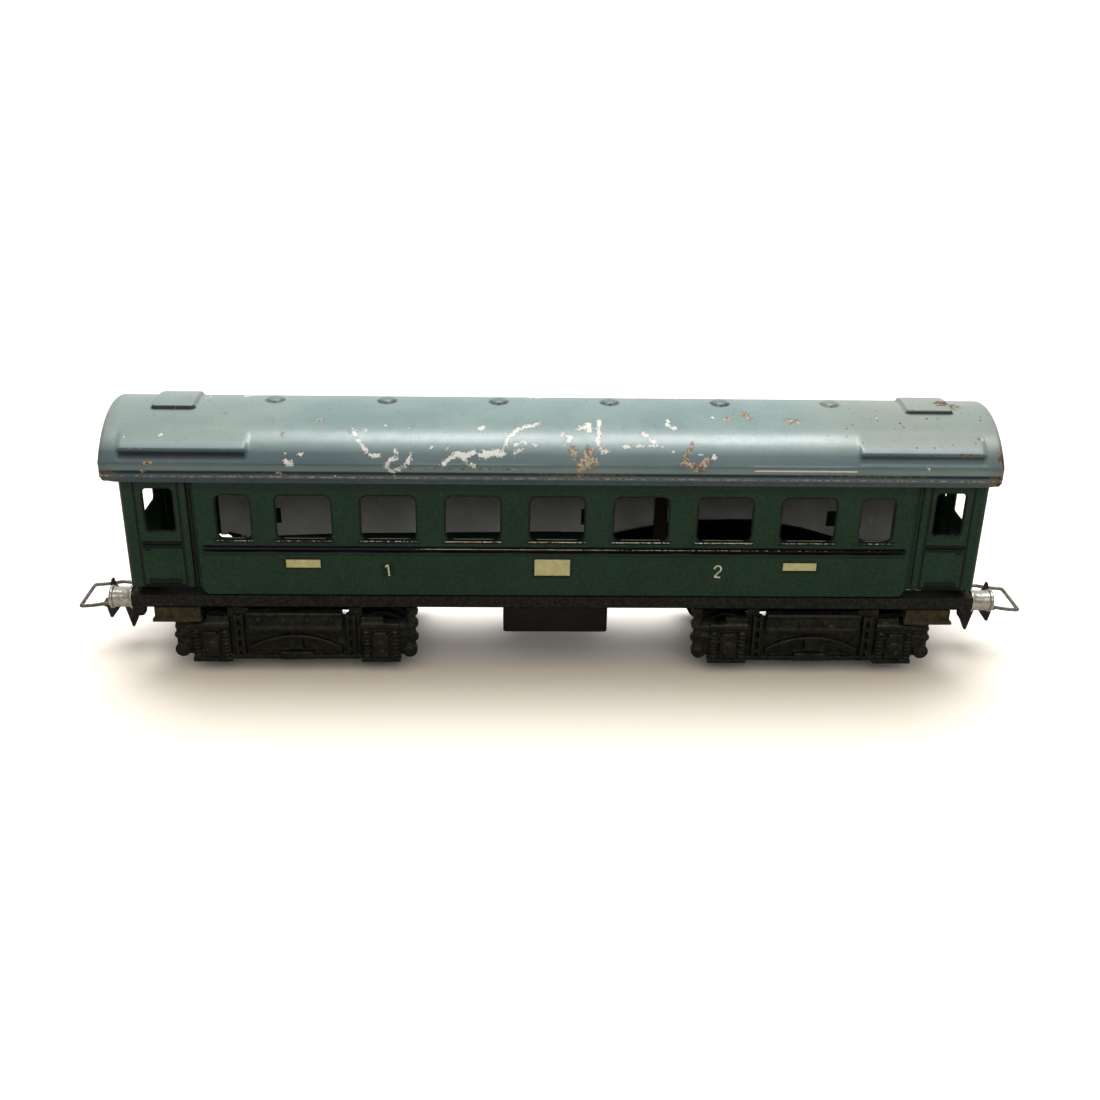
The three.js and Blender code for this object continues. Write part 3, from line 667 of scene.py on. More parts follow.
MATERIALS = {
    "roof_paint": roof_material(),
    "coach_green": green_material(),
    "frame_paint": black_material("frame_lacquer", (0.0042, 0.0042, 0.0032), (0.050, 0.048, 0.034), 0.45, 0.2),
    "box_paint": black_material("box_lacquer", (0.0045, 0.0048, 0.0046), (0.030, 0.030, 0.028), 0.35, 0.2),
    "bracket_paint": black_material("bracket_lacquer", (0.0012, 0.0013, 0.0012), (0.012, 0.012, 0.011), 0.3, 0.04),
    "step_brown": plain_material(
        "step_worn_brown",
        [(0.022, 0.017, 0.005), ((0.072, 0.056, 0.013), (1.4, 6, 0.7), 0.35, 0.68),
         ((0.125, 0.092, 0.024), (0.5, 5, 0.7), 0.55, 0.7, 0.7)],
        [((1.0, 4), 0.03), ((0.25, 4), 0.012)], ((1.0, 4), 0.5, 0.75)),
    "bogie_casting": casting_material(),
    "zinc": zinc_material(),
    "steel": steel_material("steel_wire", (0.30, 0.29, 0.27), (0.13, 0.125, 0.11), 0.9, 0.3),
    "dark_steel": steel_material("blackened_steel", (0.055, 0.052, 0.046), (0.022, 0.021, 0.018), 0.5, 0.4),
    "wheel_black": plain_material(
        "wheel_blackened", [(0.010, 0.010, 0.009), ((0.024, 0.022, 0.018), (1.5, 5), 0.4, 0.7)],
        [((0.3, 3), 0.006)], ((0.8, 4), 0.4, 0.6), metallic=0.2),
    "lining_grey": lining_material(),
    "fibre": fibre_material(),
    "plate": plain_material(
        "plate_cream",
        [(0.76, 0.70, 0.31), ((0.88, 0.82, 0.43), (1.6, 5, 0.6), 0.35, 0.7),
         ((0.34, 0.30, 0.13), (0.4, 5, 0.7), 0.50, 0.66, 0.5)],
        [((0.3, 3), 0.004)], ((0.8,), 0.4, 0.55), coat=0.1),
    "numeral": plain_material(
        "numeral_cream", [(0.95, 0.93, 0.66), ((0.50, 0.49, 0.32), (0.35, 5, 0.7), 0.45, 0.62)],
        [], ((0.8,), 0.5, 0.6)),
}
SHARED_SLOTS = {"box_paint": "frame_paint", "bracket_paint": "frame_paint", "plate": "coach_green",
                "numeral": "coach_green"}


# ---- roof ----

ROOF_CENTRE_Z = ROOF_TOP - ROOF_R
SPRING_ANGLE = math.asin((ROOF_Y - 0.1) / ROOF_R)       # where the barrel meets the upright skirt
ARC_HALF = ROOF_R * SPRING_ANGLE
SKIRT_TOP = ROOF_CENTRE_Z + ROOF_R * math.cos(SPRING_ANGLE)
RIM_DROP = SKIRT_TOP - ROOF_RIM
RIM_HALF = ARC_HALF + RIM_DROP
END_BEND = 0.8
END_LIP = 2.0


def roof_section(b):
    """Point and outward normal of the roof's section at the distance b from the ridge, measured along the skin."""
    side = np.sign(b)
    along = np.abs(b)
    lean = np.minimum(along, ARC_HALF) / ROOF_R
    straight = along > ARC_HALF
    y = ROOF_R * np.sin(lean)
    z = ROOF_CENTRE_Z + ROOF_R * np.cos(lean) - np.maximum(along - ARC_HALF, 0)
    ny = np.where(straight, 1.0, np.sin(lean))
    nz = np.where(straight, 0.0, np.cos(lean))
    return y * side, z, ny * side, nz


def dome_distance(a, b):
    """How far each place is from the middle of the nearest ventilator dome."""
    nearest = np.clip(np.round(a / DOME_PITCH - 0.5) + 0.5, -2.5, 2.5) * DOME_PITCH
    return np.hypot(a - nearest, b)


def cover_distance(a, b):
    """Signed distance to the outline of the nearer raised cover, negative inside."""
    return np.minimum(*(rounded_distance(a, b, x0, x1, -half, half, 0.6) for x0, x1, half in COVERS))


def roof_relief(a, b):
    """How far the skin stands out of the plain section."""
    along = np.abs(b)
    z = roof_section(b)[1]
    far = dome_distance(a, b)
    out = np.sqrt(np.clip(1 - (far / 1.75) ** 2, 0, 1)) * 0.75
    out = out - 0.10 * np.exp(-((far - 2.0) / 0.25) ** 2)
    out = np.maximum(out, 0.7 * (1 - ramp(cover_distance(a, b), -0.3, 0.3)))
    # the shoulder over each door: flat on top out to a sharp lip, hollow below it
    start, end = SHOULDER_X
    on_shoulder = between(np.abs(a), start - 0.7, start + 0.5, end - 0.6, end + 0.5)
    flat_top = np.clip((49.6 - z) / (49.6 - SHOULDER_Z), 0, 1) ** 1.4 * (z >= SHOULDER_Z)
    hollow = np.clip(1 - (SHOULDER_Z - z) / 0.4, 0, 1) * (z < SHOULDER_Z)
    out = out + on_shoulder * (0.72 * (flat_top + hollow) - 0.22 * bump(z, SHOULDER_Z - 1.0, 0.2, 0.5))
    # a short crimp beside the right-hand shoulder, and a longer faint one left of the middle
    crimp = bump(z, 44.55, 0.08, 0.22) * (b < 0)
    out = out + crimp * (0.14 * between(a, 35.6, 38, 55.4, 56.6) + 0.08 * between(a, -30, -26, -5, 0))
    # crease, bead and rolled-in rim below the springing
    below = SKIRT_TOP - z
    on_skirt = along > ARC_HALF
    out = out + (0.10 * bump(below, 2.55, 0.15, 0.35) - 0.22 * bump(below, 1.75, 0.12, 0.32)) * on_skirt
    return out - 0.62 * ramp(below, RIM_DROP - 1.5, RIM_DROP) ** 1.5


def roof_warp(a, b):
    """The rim's corners are rounded as seen from the side, and the ends lean in a little towards the ridge."""
    corner = np.clip((np.abs(a) - (ROOF_END - 3.4)) / 3.0, 0, 1)
    near_rim = np.clip((np.abs(b) - (RIM_HALF - 4)) / 4, 0, 1)
    b = b - np.sign(b) * (1 - np.sqrt(1 - corner ** 2)) * near_rim
    ridge = np.cos(np.clip(np.abs(b) / ARC_HALF, 0, 1) * math.pi / 2)
    return a - np.sign(a) * 0.9 * ridge * ramp(np.abs(a), 76, ROOF_END), b


def place_roof(a, b, inset):
    """Beyond the end bend the skin turns down into the roof's end lip."""
    y, z, ny, nz = roof_section(b)
    start = ROOF_END - END_BEND
    beyond = np.maximum(np.abs(a) - start, 0)
    angle = np.minimum(beyond / END_BEND, math.pi / 2)
    lip = np.maximum(beyond - END_BEND * math.pi / 2, 0)
    radius = END_BEND - inset
    # the lip's direction turns evenly across the springing, so that its arch and its uprights don't cross
    lean = np.interp(np.abs(b), [0, ARC_HALF - 3, ARC_HALF + 2.4], [0, (ARC_HALF - 3) / ROOF_R, math.pi / 2])
    share = np.clip(beyond / 0.5, 0, 1)
    ny = ny + share * (np.sin(lean) * np.sign(b) - ny)
    nz = nz + share * (np.cos(lean) - nz)
    out = roof_relief(a, b) * (1 - ramp(np.abs(a), start - 0.6, start))
    out = out - inset - np.where(beyond > 0, radius * (1 - np.cos(angle)) + lip, 0)
    x = np.where(beyond > 0, np.sign(a) * (start + radius * np.sin(angle)), a) + ROOF_MID
    return np.stack([x, np.clip(y + ny * out, -ROOF_Y, ROOF_Y), z + nz * out], axis=-1)


def segment_distance(px, py, ax, ay, bx, by):
    dx, dy = bx - ax, by - ay
    t = np.clip(((px - ax) * dx + (py - ay) * dy) / (dx * dx + dy * dy + 1e-12), 0, 1)
    return np.hypot(px - ax - t * dx, py - ay - t * dy)


# Where the roof's front is scratched through to bare metal: half the scratch's width, then the points it passes, each
# along X from the middle and down from the ridge along the skin. A single point is a spot.
SCRATCHES = [
    (0.35, [(-38.5, 9.5), (-37.5, 12), (-36, 14), (-35.3, 15.3), (-33.5, 15.3)]),
    (0.35, [(-36.5, 9), (-36, 10)]), (0.40, [(-30.3, 14.2), (-30, 16)]),
    (0.40, [(-31.3, 16), (-32, 17.5), (-30.8, 18.4), (-29.3, 18), (-28, 17.2), (-27.5, 15)]),
    (0.60, [(-21.4, 16.8), (-20.3, 16), (-18.4, 14.8), (-17.4, 15.7), (-15.6, 14.4), (-14.5, 15.3)]),
    (0.80, [(-14, 15), (-11.8, 14.5), (-10.8, 15)]), (0.40, [(-10.6, 14.2), (-9.6, 12), (-7.5, 9.5), (-3.6, 7.9)]),
    (0.30, [(-17.4, 15.5), (-15.8, 17.4)]), (0.60, [(-14.4, 9.4)]), (0.50, [(-8.2, 12.7), (-6, 12.2)]),
    (0.32, [(-8.4, 15), (-6.8, 13.7)]), (0.40, [(-4.4, 13.1)]), (0.35, [(-23.7, 13.8)]), (0.35, [(-20.6, 13.8)]),
    (0.35, [(-27.9, 9.6)]), (0.25, [(-26.8, 12), (-27, 13)]), (0.32, [(-27.6, 15), (-28.2, 16.8)]),
    (0.65, [(4.2, 9.4), (5.8, 8.2), (5.8, 9.6)]), (0.55, [(7.9, 7.2), (7.3, 11.8)]),
    (0.45, [(7.3, 11.8), (8, 14.2), (9.6, 14)]), (0.50, [(0.8, 10.6), (2.3, 11.2), (1.8, 12.3)]), (0.40, [(1, 13.1)]),
    (0.42, [(12.5, 13.3), (15.4, 12.9)]), (0.32, [(15.6, 13.1), (19.6, 13)]), (0.42, [(16.1, 10.3), (18.1, 12.6)]),
    (0.42, [(20.9, 6.8), (20.6, 8.3), (22.1, 9)]), (0.30, [(21.4, 14.3)]), (0.30, [(22.4, 15.2)]),
    (0.40, [(29.6, 5.8)]), (0.35, [(29, 15), (29.8, 15.8)]), (0.35, [(-50.5, 15.2)]), (0.45, [(-47.7, 15.3)]),
    (0.50, [(-49.6, 17.2), (-50.6, 16.2)]), (0.35, [(-80.4, 12)]), (0.35, [(-73.7, 11.6)]),
]
# Wider losses that have begun to rust.
RUSTED = [
    (0.75, [(2.6, 14), (2.9, 15.4)]), (1.10, [(5.6, 14), (5.2, 15.6), (4.4, 17.2), (6.3, 16.6)]),
    (0.55, [(3.8, 17.5), (4.2, 18.8)]), (0.50, [(25, 12.8), (24.2, 14.8)]),
    (0.80, [(24, 15), (23.6, 16.4), (25.3, 17.2), (26.9, 17.4), (27.6, 16)]), (0.60, [(32.1, 6.2)]),
    (0.70, [(35.4, 4.2), (36.6, 5.8)]), (0.45, [(38.5, 6)]), (0.70, [(44, 6.6), (45.4, 6.8)]),
    (0.40, [(17.1, 4.1), (18, 4.1)]), (0.45, [(-51.4, 11)]), (0.35, [(-50.3, 9.4)]), (0.35, [(-45.6, 7.4), (-44.4, 7.6)]),
    (0.35, [(-63.6, 5.8), (-62.6, 5.8)]), (0.35, [(-70.4, 1.2)]), (0.30, [(-66.7, 1.4)]), (0.55, [(-75.8, 17.1)]),
    (0.50, [(-76.7, 18.7)]), (0.40, [(-39, 10.4)]), (0.35, [(-30.5, 19.4)]), (0.45, [(-52, 18.9)]),
]
# Patches of rust specks: centre along X, centre down from the ridge, half sizes and strength.
RUST_PATCHES = [
    (75.5, 0.8, 4.4, 2.4, 0.90), (84, 15.0, 2.2, 3.8, 0.92), (83.5, 20.0, 4, 2.0, 0.75), (-84, 19.5, 4, 2.0, 0.6),
    (70, 9.0, 9, 4.5, 0.20), (-69, 1.5, 5, 2.0, 0.26), (77, 14.6, 3.5, 0.8, 0.6), (58, 18.9, 20, 0.8, 0.42),
    (5, 19.0, 14, 0.7, 0.50), (-52, 19.5, 10, 0.8, 0.44), (40, 5.0, 9, 2.0, 0.22), (-84, 5.0, 1.5, 12.0, 0.25),
]


def distance_to(paths, a, b):
    """How far inside the nearest path each place is, in millimetres, negative outside."""
    best = np.full_like(a, -3.0)
    for half, points in paths:
        for (ax, ay), (bx, by) in zip(points, points[1:] or points):
            best = np.maximum(best, half - segment_distance(a, b, ax, ay, bx, by))
    return best


def patch(strength, far, halo):
    """A field that is strong at a place, falls off with distance, and is below 0 well away from it."""
    near = np.exp(-far ** 2)
    return strength * near - halo * (1 - near)


def roof_fields(a, b):
    """Where the lacquer is chipped, specked with rust, grimy or worn through, and where shade and highlights are
    painted on.
    """
    x, down, at = np.abs(a), np.abs(b), a + ROOF_MID
    below = down - ARC_HALF
    front = b < 0
    rng = np.random.default_rng(7)
    front_only = np.where(front, 0.0, -3.0)
    chip = distance_to(SCRATCHES, at, down) + front_only
    rusted = distance_to(RUSTED, at, down) + front_only
    spots = [(rng.uniform(0.05, 0.22), [(rng.uniform(-82, 82), rng.uniform(-20, 20))]) for _ in range(50)]
    back = [(rng.uniform(0.25, 0.6), [(x0, w), (x0 + rng.uniform(-3, 3), w + rng.uniform(-2, 2))])
            for x0, w in zip(rng.uniform(-75, 75, 22), rng.uniform(4, 19, 22))]
    chip = np.maximum(chip, np.maximum(distance_to(spots, at, b), distance_to(back, at, b)))
    rust = np.full_like(a, -0.30)
    for middle, where, half_x, half_b, strength in RUST_PATCHES:
        far = np.hypot((at - middle) / half_x, (b + where) / half_b)
        rust = np.maximum(rust, patch(strength, far, 0.28))
    for sign in (-1, 1):
        far = np.hypot((a - sign * ROOF_END) / 4, (down - RIM_HALF + 2) / 4)
        rust = np.maximum(rust, patch(0.42, far, 0.2))
    on_shoulder = between(x, SHOULDER_X[0] - 0.2, SHOULDER_X[0] + 0.4, SHOULDER_X[1] - 0.5, SHOULDER_X[1])
    cover, dome = cover_distance(a, b), dome_distance(a, b)
    # darker towards the ends; painted shade on the rolled rim, round the covers and round each dome, more on the domes'
    # front halves
    grime = 0.35 * ramp(x, ROOF_END - 3.0, ROOF_END - 0.5) + 0.75 * ramp(below, 2.75, 2.95)
    grime = grime + 0.35 * bump(cover, 0.1, 0.1, 0.5) + 0.9 * bump(dome, 1.8, 0.1, 0.2)
    grime = grime + (0.16 + 0.22 * front) * bump(dome, 1.0, 0.7, 0.2)
    # the shade under each shoulder's lip, in the crease above the rim and on the covers' front faces
    lip_shade = np.where(a > 0, 0.85 * (1 - ramp(down, 15.0, 15.7)), 1 - ramp(down, 15.4, 16.9))
    under_lip = ramp(down, 14.85, 15.05) * lip_shade * on_shoulder
    cover_face = bump(cover, 0.05, 0.16, 0.14) * ramp(down, 3.6, 4.0) * front
    dark = 0.95 * under_lip + 0.85 * bump(below, 1.80, 0.16, 0.26) + 0.9 * cover_face
    # painted shade across the lower roof, lighter near the springing, with more on the skirt below the crease and a
    # little more towards the left
    soot = 0.54 * ramp(down, 13.2, 15.2) * (1 - 0.85 * ramp(down, 16.9, 18.0)) + 0.52 * ramp(below, 1.2, 1.9)
    soot = soot + 0.14 * ramp(down, 13.5, 15.5) * ramp(-at, 28, 45)
    dust = (0.55 * ramp(at, 38, 62) + 0.30 * ramp(-at, 42, 60)) * (1 - ramp(down, 12, 15))
    # pale worn lines along the rim, its bottom edge and the ends, and a painted highlight along each shoulder's lip
    edge = 0.74 * bump(below, 2.50, 0.08, 0.16) + 0.40 * ramp(x, ROOF_END - 1.0, ROOF_END - 0.3)
    edge = edge + 0.42 * bump(down, 14.6, 0.06, 0.14) * on_shoulder + 0.30 * bump(below, RIM_DROP, 0.1, 0.25)
    # painted highlights on the crimps' crests: bare-metal white beside the right-hand shoulder, the worn line's colours
    # left of the middle
    crest_highlight = bump(below, 0.72, 0.10, 0.15) * front
    chip = np.maximum(chip, -3 + 4.6 * crest_highlight * between(at, 35.6, 37, 55.6, 56.6))
    edge = edge + 0.68 * crest_highlight * between(at, -32, -28, -6, -2)
    pitted = 0.13 * ramp(at, 35, 66) * bump(b, -8, 7, 5) + 0.145
    return {"chip": chip, "rusted": rusted, "rust": rust, "grime": np.clip(grime, 0, 1),
            "dark": np.clip(dark, 0, 1), "soot": soot, "dust": dust, "edge": edge, "pitted": pitted}


def roof():
    half_length = ROOF_END - END_BEND + END_BEND * math.pi / 2 + END_LIP
    fine_x = mirrored(*(((k + 0.5) * DOME_PITCH, 2.4, 0.22) for k in range(3)))
    fine_x += mirrored(*((edge, 1.0, 0.18) for edge in SHOULDER_X), (ROOF_END - 0.2, 1.2, 0.15))
    fine_x += [(edge, 1.0, 0.2) for cover in COVERS for edge in cover[:2]]
    fine_b = [(0, 2.4, 0.2), (-4.3, 0.9, 0.16), (4.3, 0.9, 0.2), (-12, 4, 0.36)]
    fine_b += mirrored((15.4, 1.6, 0.15), (ARC_HALF - 0.2, 0.9, 0.15), (RIM_HALF - 1.9, 1.9, 0.14))
    return pressed_sheet("roof_pressing", lines(-half_length, half_length, 0.42, fine_x),
                         lines(-RIM_HALF, RIM_HALF, 0.5, fine_b), place_roof, warp=roof_warp, fields=roof_fields)


finish_piece(roof(), "coach", "roof_paint", "roof")


# ---- side walls ----

SIDE_BOTTOM = node_mm("underframe")[1][2] + 0.04        # the sheet stands on the frame
BEND_START = BODY_END - CORNER_R
BEND_LENGTH = CORNER_R * math.pi / 2
SIDE_HALF = BEND_START + BEND_LENGTH + (DOOR_Y - CORNER_R - CORNER_RETURN_Y)


def upright(x, width, heights, r):
    """A hole or label from its middle along X, its width, its lower and upper edge and its corner radius."""
    return (x - width / 2, x + width / 2, *heights, r)


def side_holes():
    holes = [upright(k * WINDOW_PITCH, WINDOW_W, WINDOW_Z, WINDOW_R) for k in range(-3, 4)]
    for sign in (-1, 1):
        holes.append(upright(sign * NARROW_X, NARROW_W, WINDOW_Z, WINDOW_R))
        holes.append((*sorted(sign * x for x in DOOR_WINDOW_X), *DOOR_WINDOW_Z, 0.8))
    return holes


SIDE_HOLES = side_holes()
# Middle X, middle height, width and height of each label.
PLATES = [(-48.6, 23.95, 6.55, 1.65), (-0.8, 23.35, 6.85, 3.4), (47.2, 23.75, 6.5, 1.6)]


def proud_distance(a, b):
    """Signed distance to the outline of the pushed-out middle, negative inside."""
    return rounded_distance(a, b, -PROUD_END, PROUD_END, WALL_BOTTOM - 0.2, 80, 1.8)


def door_distances(x, b):
    """Signed distances to the door's outline and its kick plate's, and 1 across the door's face."""
    low, high = DOOR_X
    door = rounded_distance(x, b, low, high, DOOR_BOTTOM + 0.3, 60, 0.3)
    kick = rounded_distance(x, b, low + 1.0, high - 1.0, *KICK_PLATE_Z, 0.3)
    return door, kick, bump(x, (low + high) / 2, (high - low) / 2 - 0.5, 0.3)


def side_relief(a, b):
    """Half width of the body's outer skin."""
    x = np.abs(a)
    proud = proud_distance(a, b)
    out = DOOR_Y + (PROUD_Y - DOOR_Y) * (1 - ramp(proud, -0.4, 0.3))
    # belt: a wide groove with a thin ridge along its middle, and a fine line below it
    inside = ramp(-proud, 0.5, 1.6)
    groove_half = 0.42 * inside
    belt = 0.30 * bump(b, BELT_Z + 0.02, 0.06, 0.16) - 0.12 * bump(b, LOW_LINE_Z, 0.04, 0.14)
    belt = belt + 0.10 * bump(b, BELT_Z - 0.95, 0.12, 0.12)
    belt = belt - 0.46 * (1 - ramp(np.abs(b - BELT_Z), groove_half, groove_half + 0.28))
    out = out + belt * inside
    # a sill below each window, and a soft pull-in round the opening
    for a0, a1, b0, b1, r in SIDE_HOLES:
        is_door = abs((a0 + a1) / 2) > PROUD_END
        reach = 0.25 if is_door else 0.7
        across = bump(a, (a0 + a1) / 2, (a1 - a0) / 2 + reach - 0.3, 0.4)
        depth, centre, half = (0.20, b0 - 0.75, 0.4) if is_door else (0.36, b0 - 0.30, 0.14)
        out = out + depth * across * bump(b, centre, half, 0.24)
        out = out - 0.16 * (1 - ramp(rounded_distance(a, b, a0, a1, b0, b1, r), 0.0, 0.34)) * (b > b0)
    # doors: outline groove, belt pair, kick plate and handle, and the post beside each
    door, kick, on_door = door_distances(x, b)
    door_belt = 0.30 * bump(b, DOOR_BELT_Z[0], 0.3, 0.2) + 0.18 * bump(b, DOOR_BELT_Z[1], 0.06, 0.18)
    door_belt = door_belt - 0.10 * bump(b, 27.15, 0.1, 0.12)
    handle = np.hypot((x - 78.2) / 0.8, (b - 26.0) / 0.35)
    bay = 0.32 * np.sqrt(np.clip(1 - handle ** 2, 0, 1)) - 0.24 * (1 - ramp(kick, -0.1, 0.16))
    bay = bay - 0.22 * bump(door, 0, 0.08, 0.2) - door_belt * on_door
    out = out + bay * ramp(x, PROUD_END + 1.2, PROUD_END + 1.5)
    out = out - 0.30 * bump(x, PROUD_END + 0.95, 0.25, 0.25)
    out = out + 0.12 * bump(x, PROUD_END + 2.05, 0.12, 0.25) - 0.16 * bump(x, PROUD_END + 2.6, 0.04, 0.2)
    return np.minimum(out, ROOF_Y - 0.35)


def side_warp(a, b):
    """The door bays stop short of the middle's bottom edge, whose corners are rounded."""
    lift = (DOOR_BOTTOM - SIDE_BOTTOM) * ramp(np.abs(a), PROUD_END - 1.2, PROUD_END + 0.5)
    return a, b + lift * np.clip(1 - (b - SIDE_BOTTOM) / 1.9, 0, 1)


def place_side(a, b, inset):
    """Front side. Past the bend the skin turns the body's corner and runs on a little across the end."""
    out = side_relief(a, b) - inset
    beyond = np.maximum(np.abs(a) - BEND_START, 0)
    angle = np.minimum(beyond / CORNER_R, math.pi / 2)
    past = np.maximum(beyond - BEND_LENGTH, 0)
    radius = CORNER_R + out - DOOR_Y
    x = np.where(beyond > 0, np.sign(a) * (BEND_START + radius * np.sin(angle)), a)
    y = np.where(beyond > 0, -(DOOR_Y - CORNER_R + radius * np.cos(angle)) + past, -out)
    return np.stack([x, y, b], axis=-1)


def side_fields(a, b):
    """Where the lacquer takes painted shade, pale lines of painted highlight and wear, or painted glints, and an old
    stain.
    """
    x = np.abs(a)
    proud = proud_distance(a, b)
    inside = ramp(-proud, 0.6, 1.4)
    # painted shade along the bottom where the side stands on the frame, under the eaves, in the recess beside the
    # pushed-out middle (lighter on the right) and in the belt's grooves
    grime = 0.9 * (1 - ramp(b - SIDE_BOTTOM, 0.15, 0.5)) + 0.34 * ramp(b, 38.2, 39.6)
    grime = grime + np.where(a > 0, 0.4, 1.0) * bump(x, PROUD_END + 0.95, 0.4, 0.3)
    grime = grime + (bump(b, BELT_Z, 0.46, 0.2) + 0.6 * bump(b, LOW_LINE_Z, 0.06, 0.14)) * inside
    # pale lines painted as highlight along the pushed-out middle's edges, under the belt, on the corner's bend and on
    # the post beside the door, with some wear
    wear = 0.54 * bump(proud, -0.28, 0.12, 0.2) * ramp(b, WALL_BOTTOM + 0.6, WALL_BOTTOM + 1.4)
    wear = wear + 0.34 * bump(b, BELT_Z - 0.95, 0.1, 0.2) * inside + 0.3 * bump(x, BEND_START + 1, 0.3, 0.8)
    wear = wear + 0.44 * bump(x, PROUD_END + 2.1, 0.45, 0.3)
    # painted highlight along the belt's ridge: strongest left of the middle, a painted violet reflection beyond that
    ridge = bump(b, BELT_Z + 0.02, 0.09, 0.1) * inside
    glint = ridge * np.interp(a, [-68, -32, -24, -6, 10, 40, 68], [0.25, 0.35, 0.80, 0.85, 0.66, 0.56, 0.40])
    violet = bump(b, BELT_Z, 0.13, 0.12) * inside * ramp(-a, 24, 30)
    for a0, a1, b0, b1, r in SIDE_HOLES:
        is_door = abs((a0 + a1) / 2) > PROUD_END
        across = bump(a, (a0 + a1) / 2, (a1 - a0) / 2 + (0 if is_door else 0.3), 0.3)
        # painted shade round each opening's outline, less along a window's foot
        outline_shade = bump(rounded_distance(a, b, a0, a1, b0, b1, r), 0.05, 0.2, 0.12)
        grime = grime + outline_shade * (1 - 0.6 * across * (b < b0 - 0.05))
        if is_door:
            # a pale band painted as highlight along the door window's sill
            wear = wear + 0.36 * across * bump(b, b0 - 0.75, 0.3, 0.2)
            continue
        # painted highlight along each window's sill, and painted shade below it
        glint = glint + (0.70 - 0.12 * (abs(a0) > 30)) * across * bump(b, b0 - 0.25, 0.1, 0.12)
        grime = grime + 0.95 * across * bump(b, b0 - 0.62, 0.14, 0.16)
    door, kick, on_door = door_distances(x, b)
    grooves = bump(b, DOOR_BELT_Z[0], 0.38, 0.14) + 0.9 * bump(b, DOOR_BELT_Z[1], 0.12, 0.14)
    # painted shade in the door's outline, its grooves and round its kick plate
    grime = grime + 0.85 * bump(door, 0, 0.12, 0.2) * (x > PROUD_END + 1)
    grime = grime + (grooves * on_door + 0.85 * (1 - ramp(kick, -0.05, 0.15))) * (x > PROUD_END)
    for middle, height, width, tall in PLATES:
        label = rounded_distance(a, b, *upright(middle, width, (height - tall / 2, height + tall / 2), 0.2))
        # painted shade round each label
        grime = grime + 0.85 * bump(label, 0.1, 0.18, 0.2)
    # an old stain round the left-hand numeral
    grime = grime + 0.55 * (1 - ramp(rounded_distance(a, b, -33.6, -31.2, 21.2, 24.0, 0.3), -0.1, 0.2))
    return {"grime": np.clip(grime, 0, 1), "wear": wear, "glint": glint, "violet": violet}


def hole_stops(holes, first):
    """The edges of holes along one direction: first is 0 for across, 2 for up."""
    return sorted({edge for hole in holes for edge in hole[first:first + 2]})


def side_wall(side):
    stops = hole_stops(SIDE_HOLES, 0)
    fine = mirrored((PROUD_END + 0.9, 2.4, 0.14), (BEND_START + 1.2, 1.4, 0.16), (78.2, 0.9, 0.16),
                    *((x, 0.5, 0.14) for x in DOOR_X))
    a_lines = lines(-SIDE_HALF, SIDE_HALF, 0.5, [(stop, 0.6, 0.15) for stop in stops] + fine, stops)
    b_stops = hole_stops(SIDE_HOLES, 2)
    b_fine = [(stop, 0.8, 0.15) for stop in b_stops]
    b_fine += [(WINDOW_Z[0] - 1.2, 1.2, 0.14), (26.9, 1.5, 0.1), (19.6, 0.9, 0.14), (18.2, 1.2, 0.18)]
    b_lines = lines(SIDE_BOTTOM, WALL_TOP, 0.45, b_fine, b_stops)
    obj = pressed_sheet(f"side_pressing_{side}", a_lines, b_lines, place_side, SIDE_HOLES, 0.42, side_warp, side_fields)
    if side == "back":
        half_turn(obj)
    return obj


for side in SIDES:
    finish_piece(side_wall(side), "coach", "coach_green", f"side_wall_{side}")


# ---- end walls ----

END_FACE, END_HALF, _ = node_mm("end_wall_right")[1]
END_MID = -1.9                  # both ends are one pressing, whose openings sit off the middle
GANGWAY = upright(END_MID, 7.4, (29.4, 42.5), 0.6)
END_HOLES = [GANGWAY] + [upright(middle, 2.9, (30.1, 38.8), 0.6) for middle in (-8.15, 8.15)]
END_DOOR = upright(END_MID, 9.6, (18.4, 60), 0.3)
END_PANEL = upright(END_MID, 7.0, (19.8, 27.8), 0.5)
END_TOP_R = ROOF_R - 3.2
END_SHEET_TOP = WALL_TOP + 0.6


def end_relief(a, b):
    door = rounded_distance(a, b, *END_DOOR)
    out = -0.18 * bump(door, 0, 0.08, 0.22) + 0.12 * (1 - ramp(door, -0.5, -0.2))
    out = out + 0.14 * bump(rounded_distance(a, b, *END_PANEL), 0, 0.12, 0.2)
    for hole in END_HOLES:
        out = out + 0.12 * bump(rounded_distance(a, b, *hole), 0.35, 0.12, 0.2)
    return np.minimum(out, 0.2)


def end_warp(a, b):
    """Above the eaves the rows bend up under the roof."""
    crown = np.sqrt(np.maximum(END_TOP_R ** 2 - a ** 2, 0)) + ROOF_CENTRE_Z
    eaves = WALL_TOP - 1
    share = np.clip((b - eaves) / (END_SHEET_TOP - eaves), 0, 1)
    return a, b + share * (crown - END_SHEET_TOP)


def end_fields(a, b):
    # paler along the upright edges and round the openings; darker along the bottom and round the door's outline
    wear = 0.3 * (np.abs(np.abs(a) - END_HALF) < 0.3)
    for hole in END_HOLES:
        wear = wear + 0.46 * bump(rounded_distance(a, b, *hole), 0.05, 0.06, 0.18)
    door = rounded_distance(a, b, *END_DOOR)
    grime = 0.5 * (1 - ramp(b - WALL_BOTTOM, 0.1, 1.2)) + 0.5 * bump(door, 0, 0.1, 0.3)
    return {"grime": np.clip(grime, 0, 1), "wear": wear}


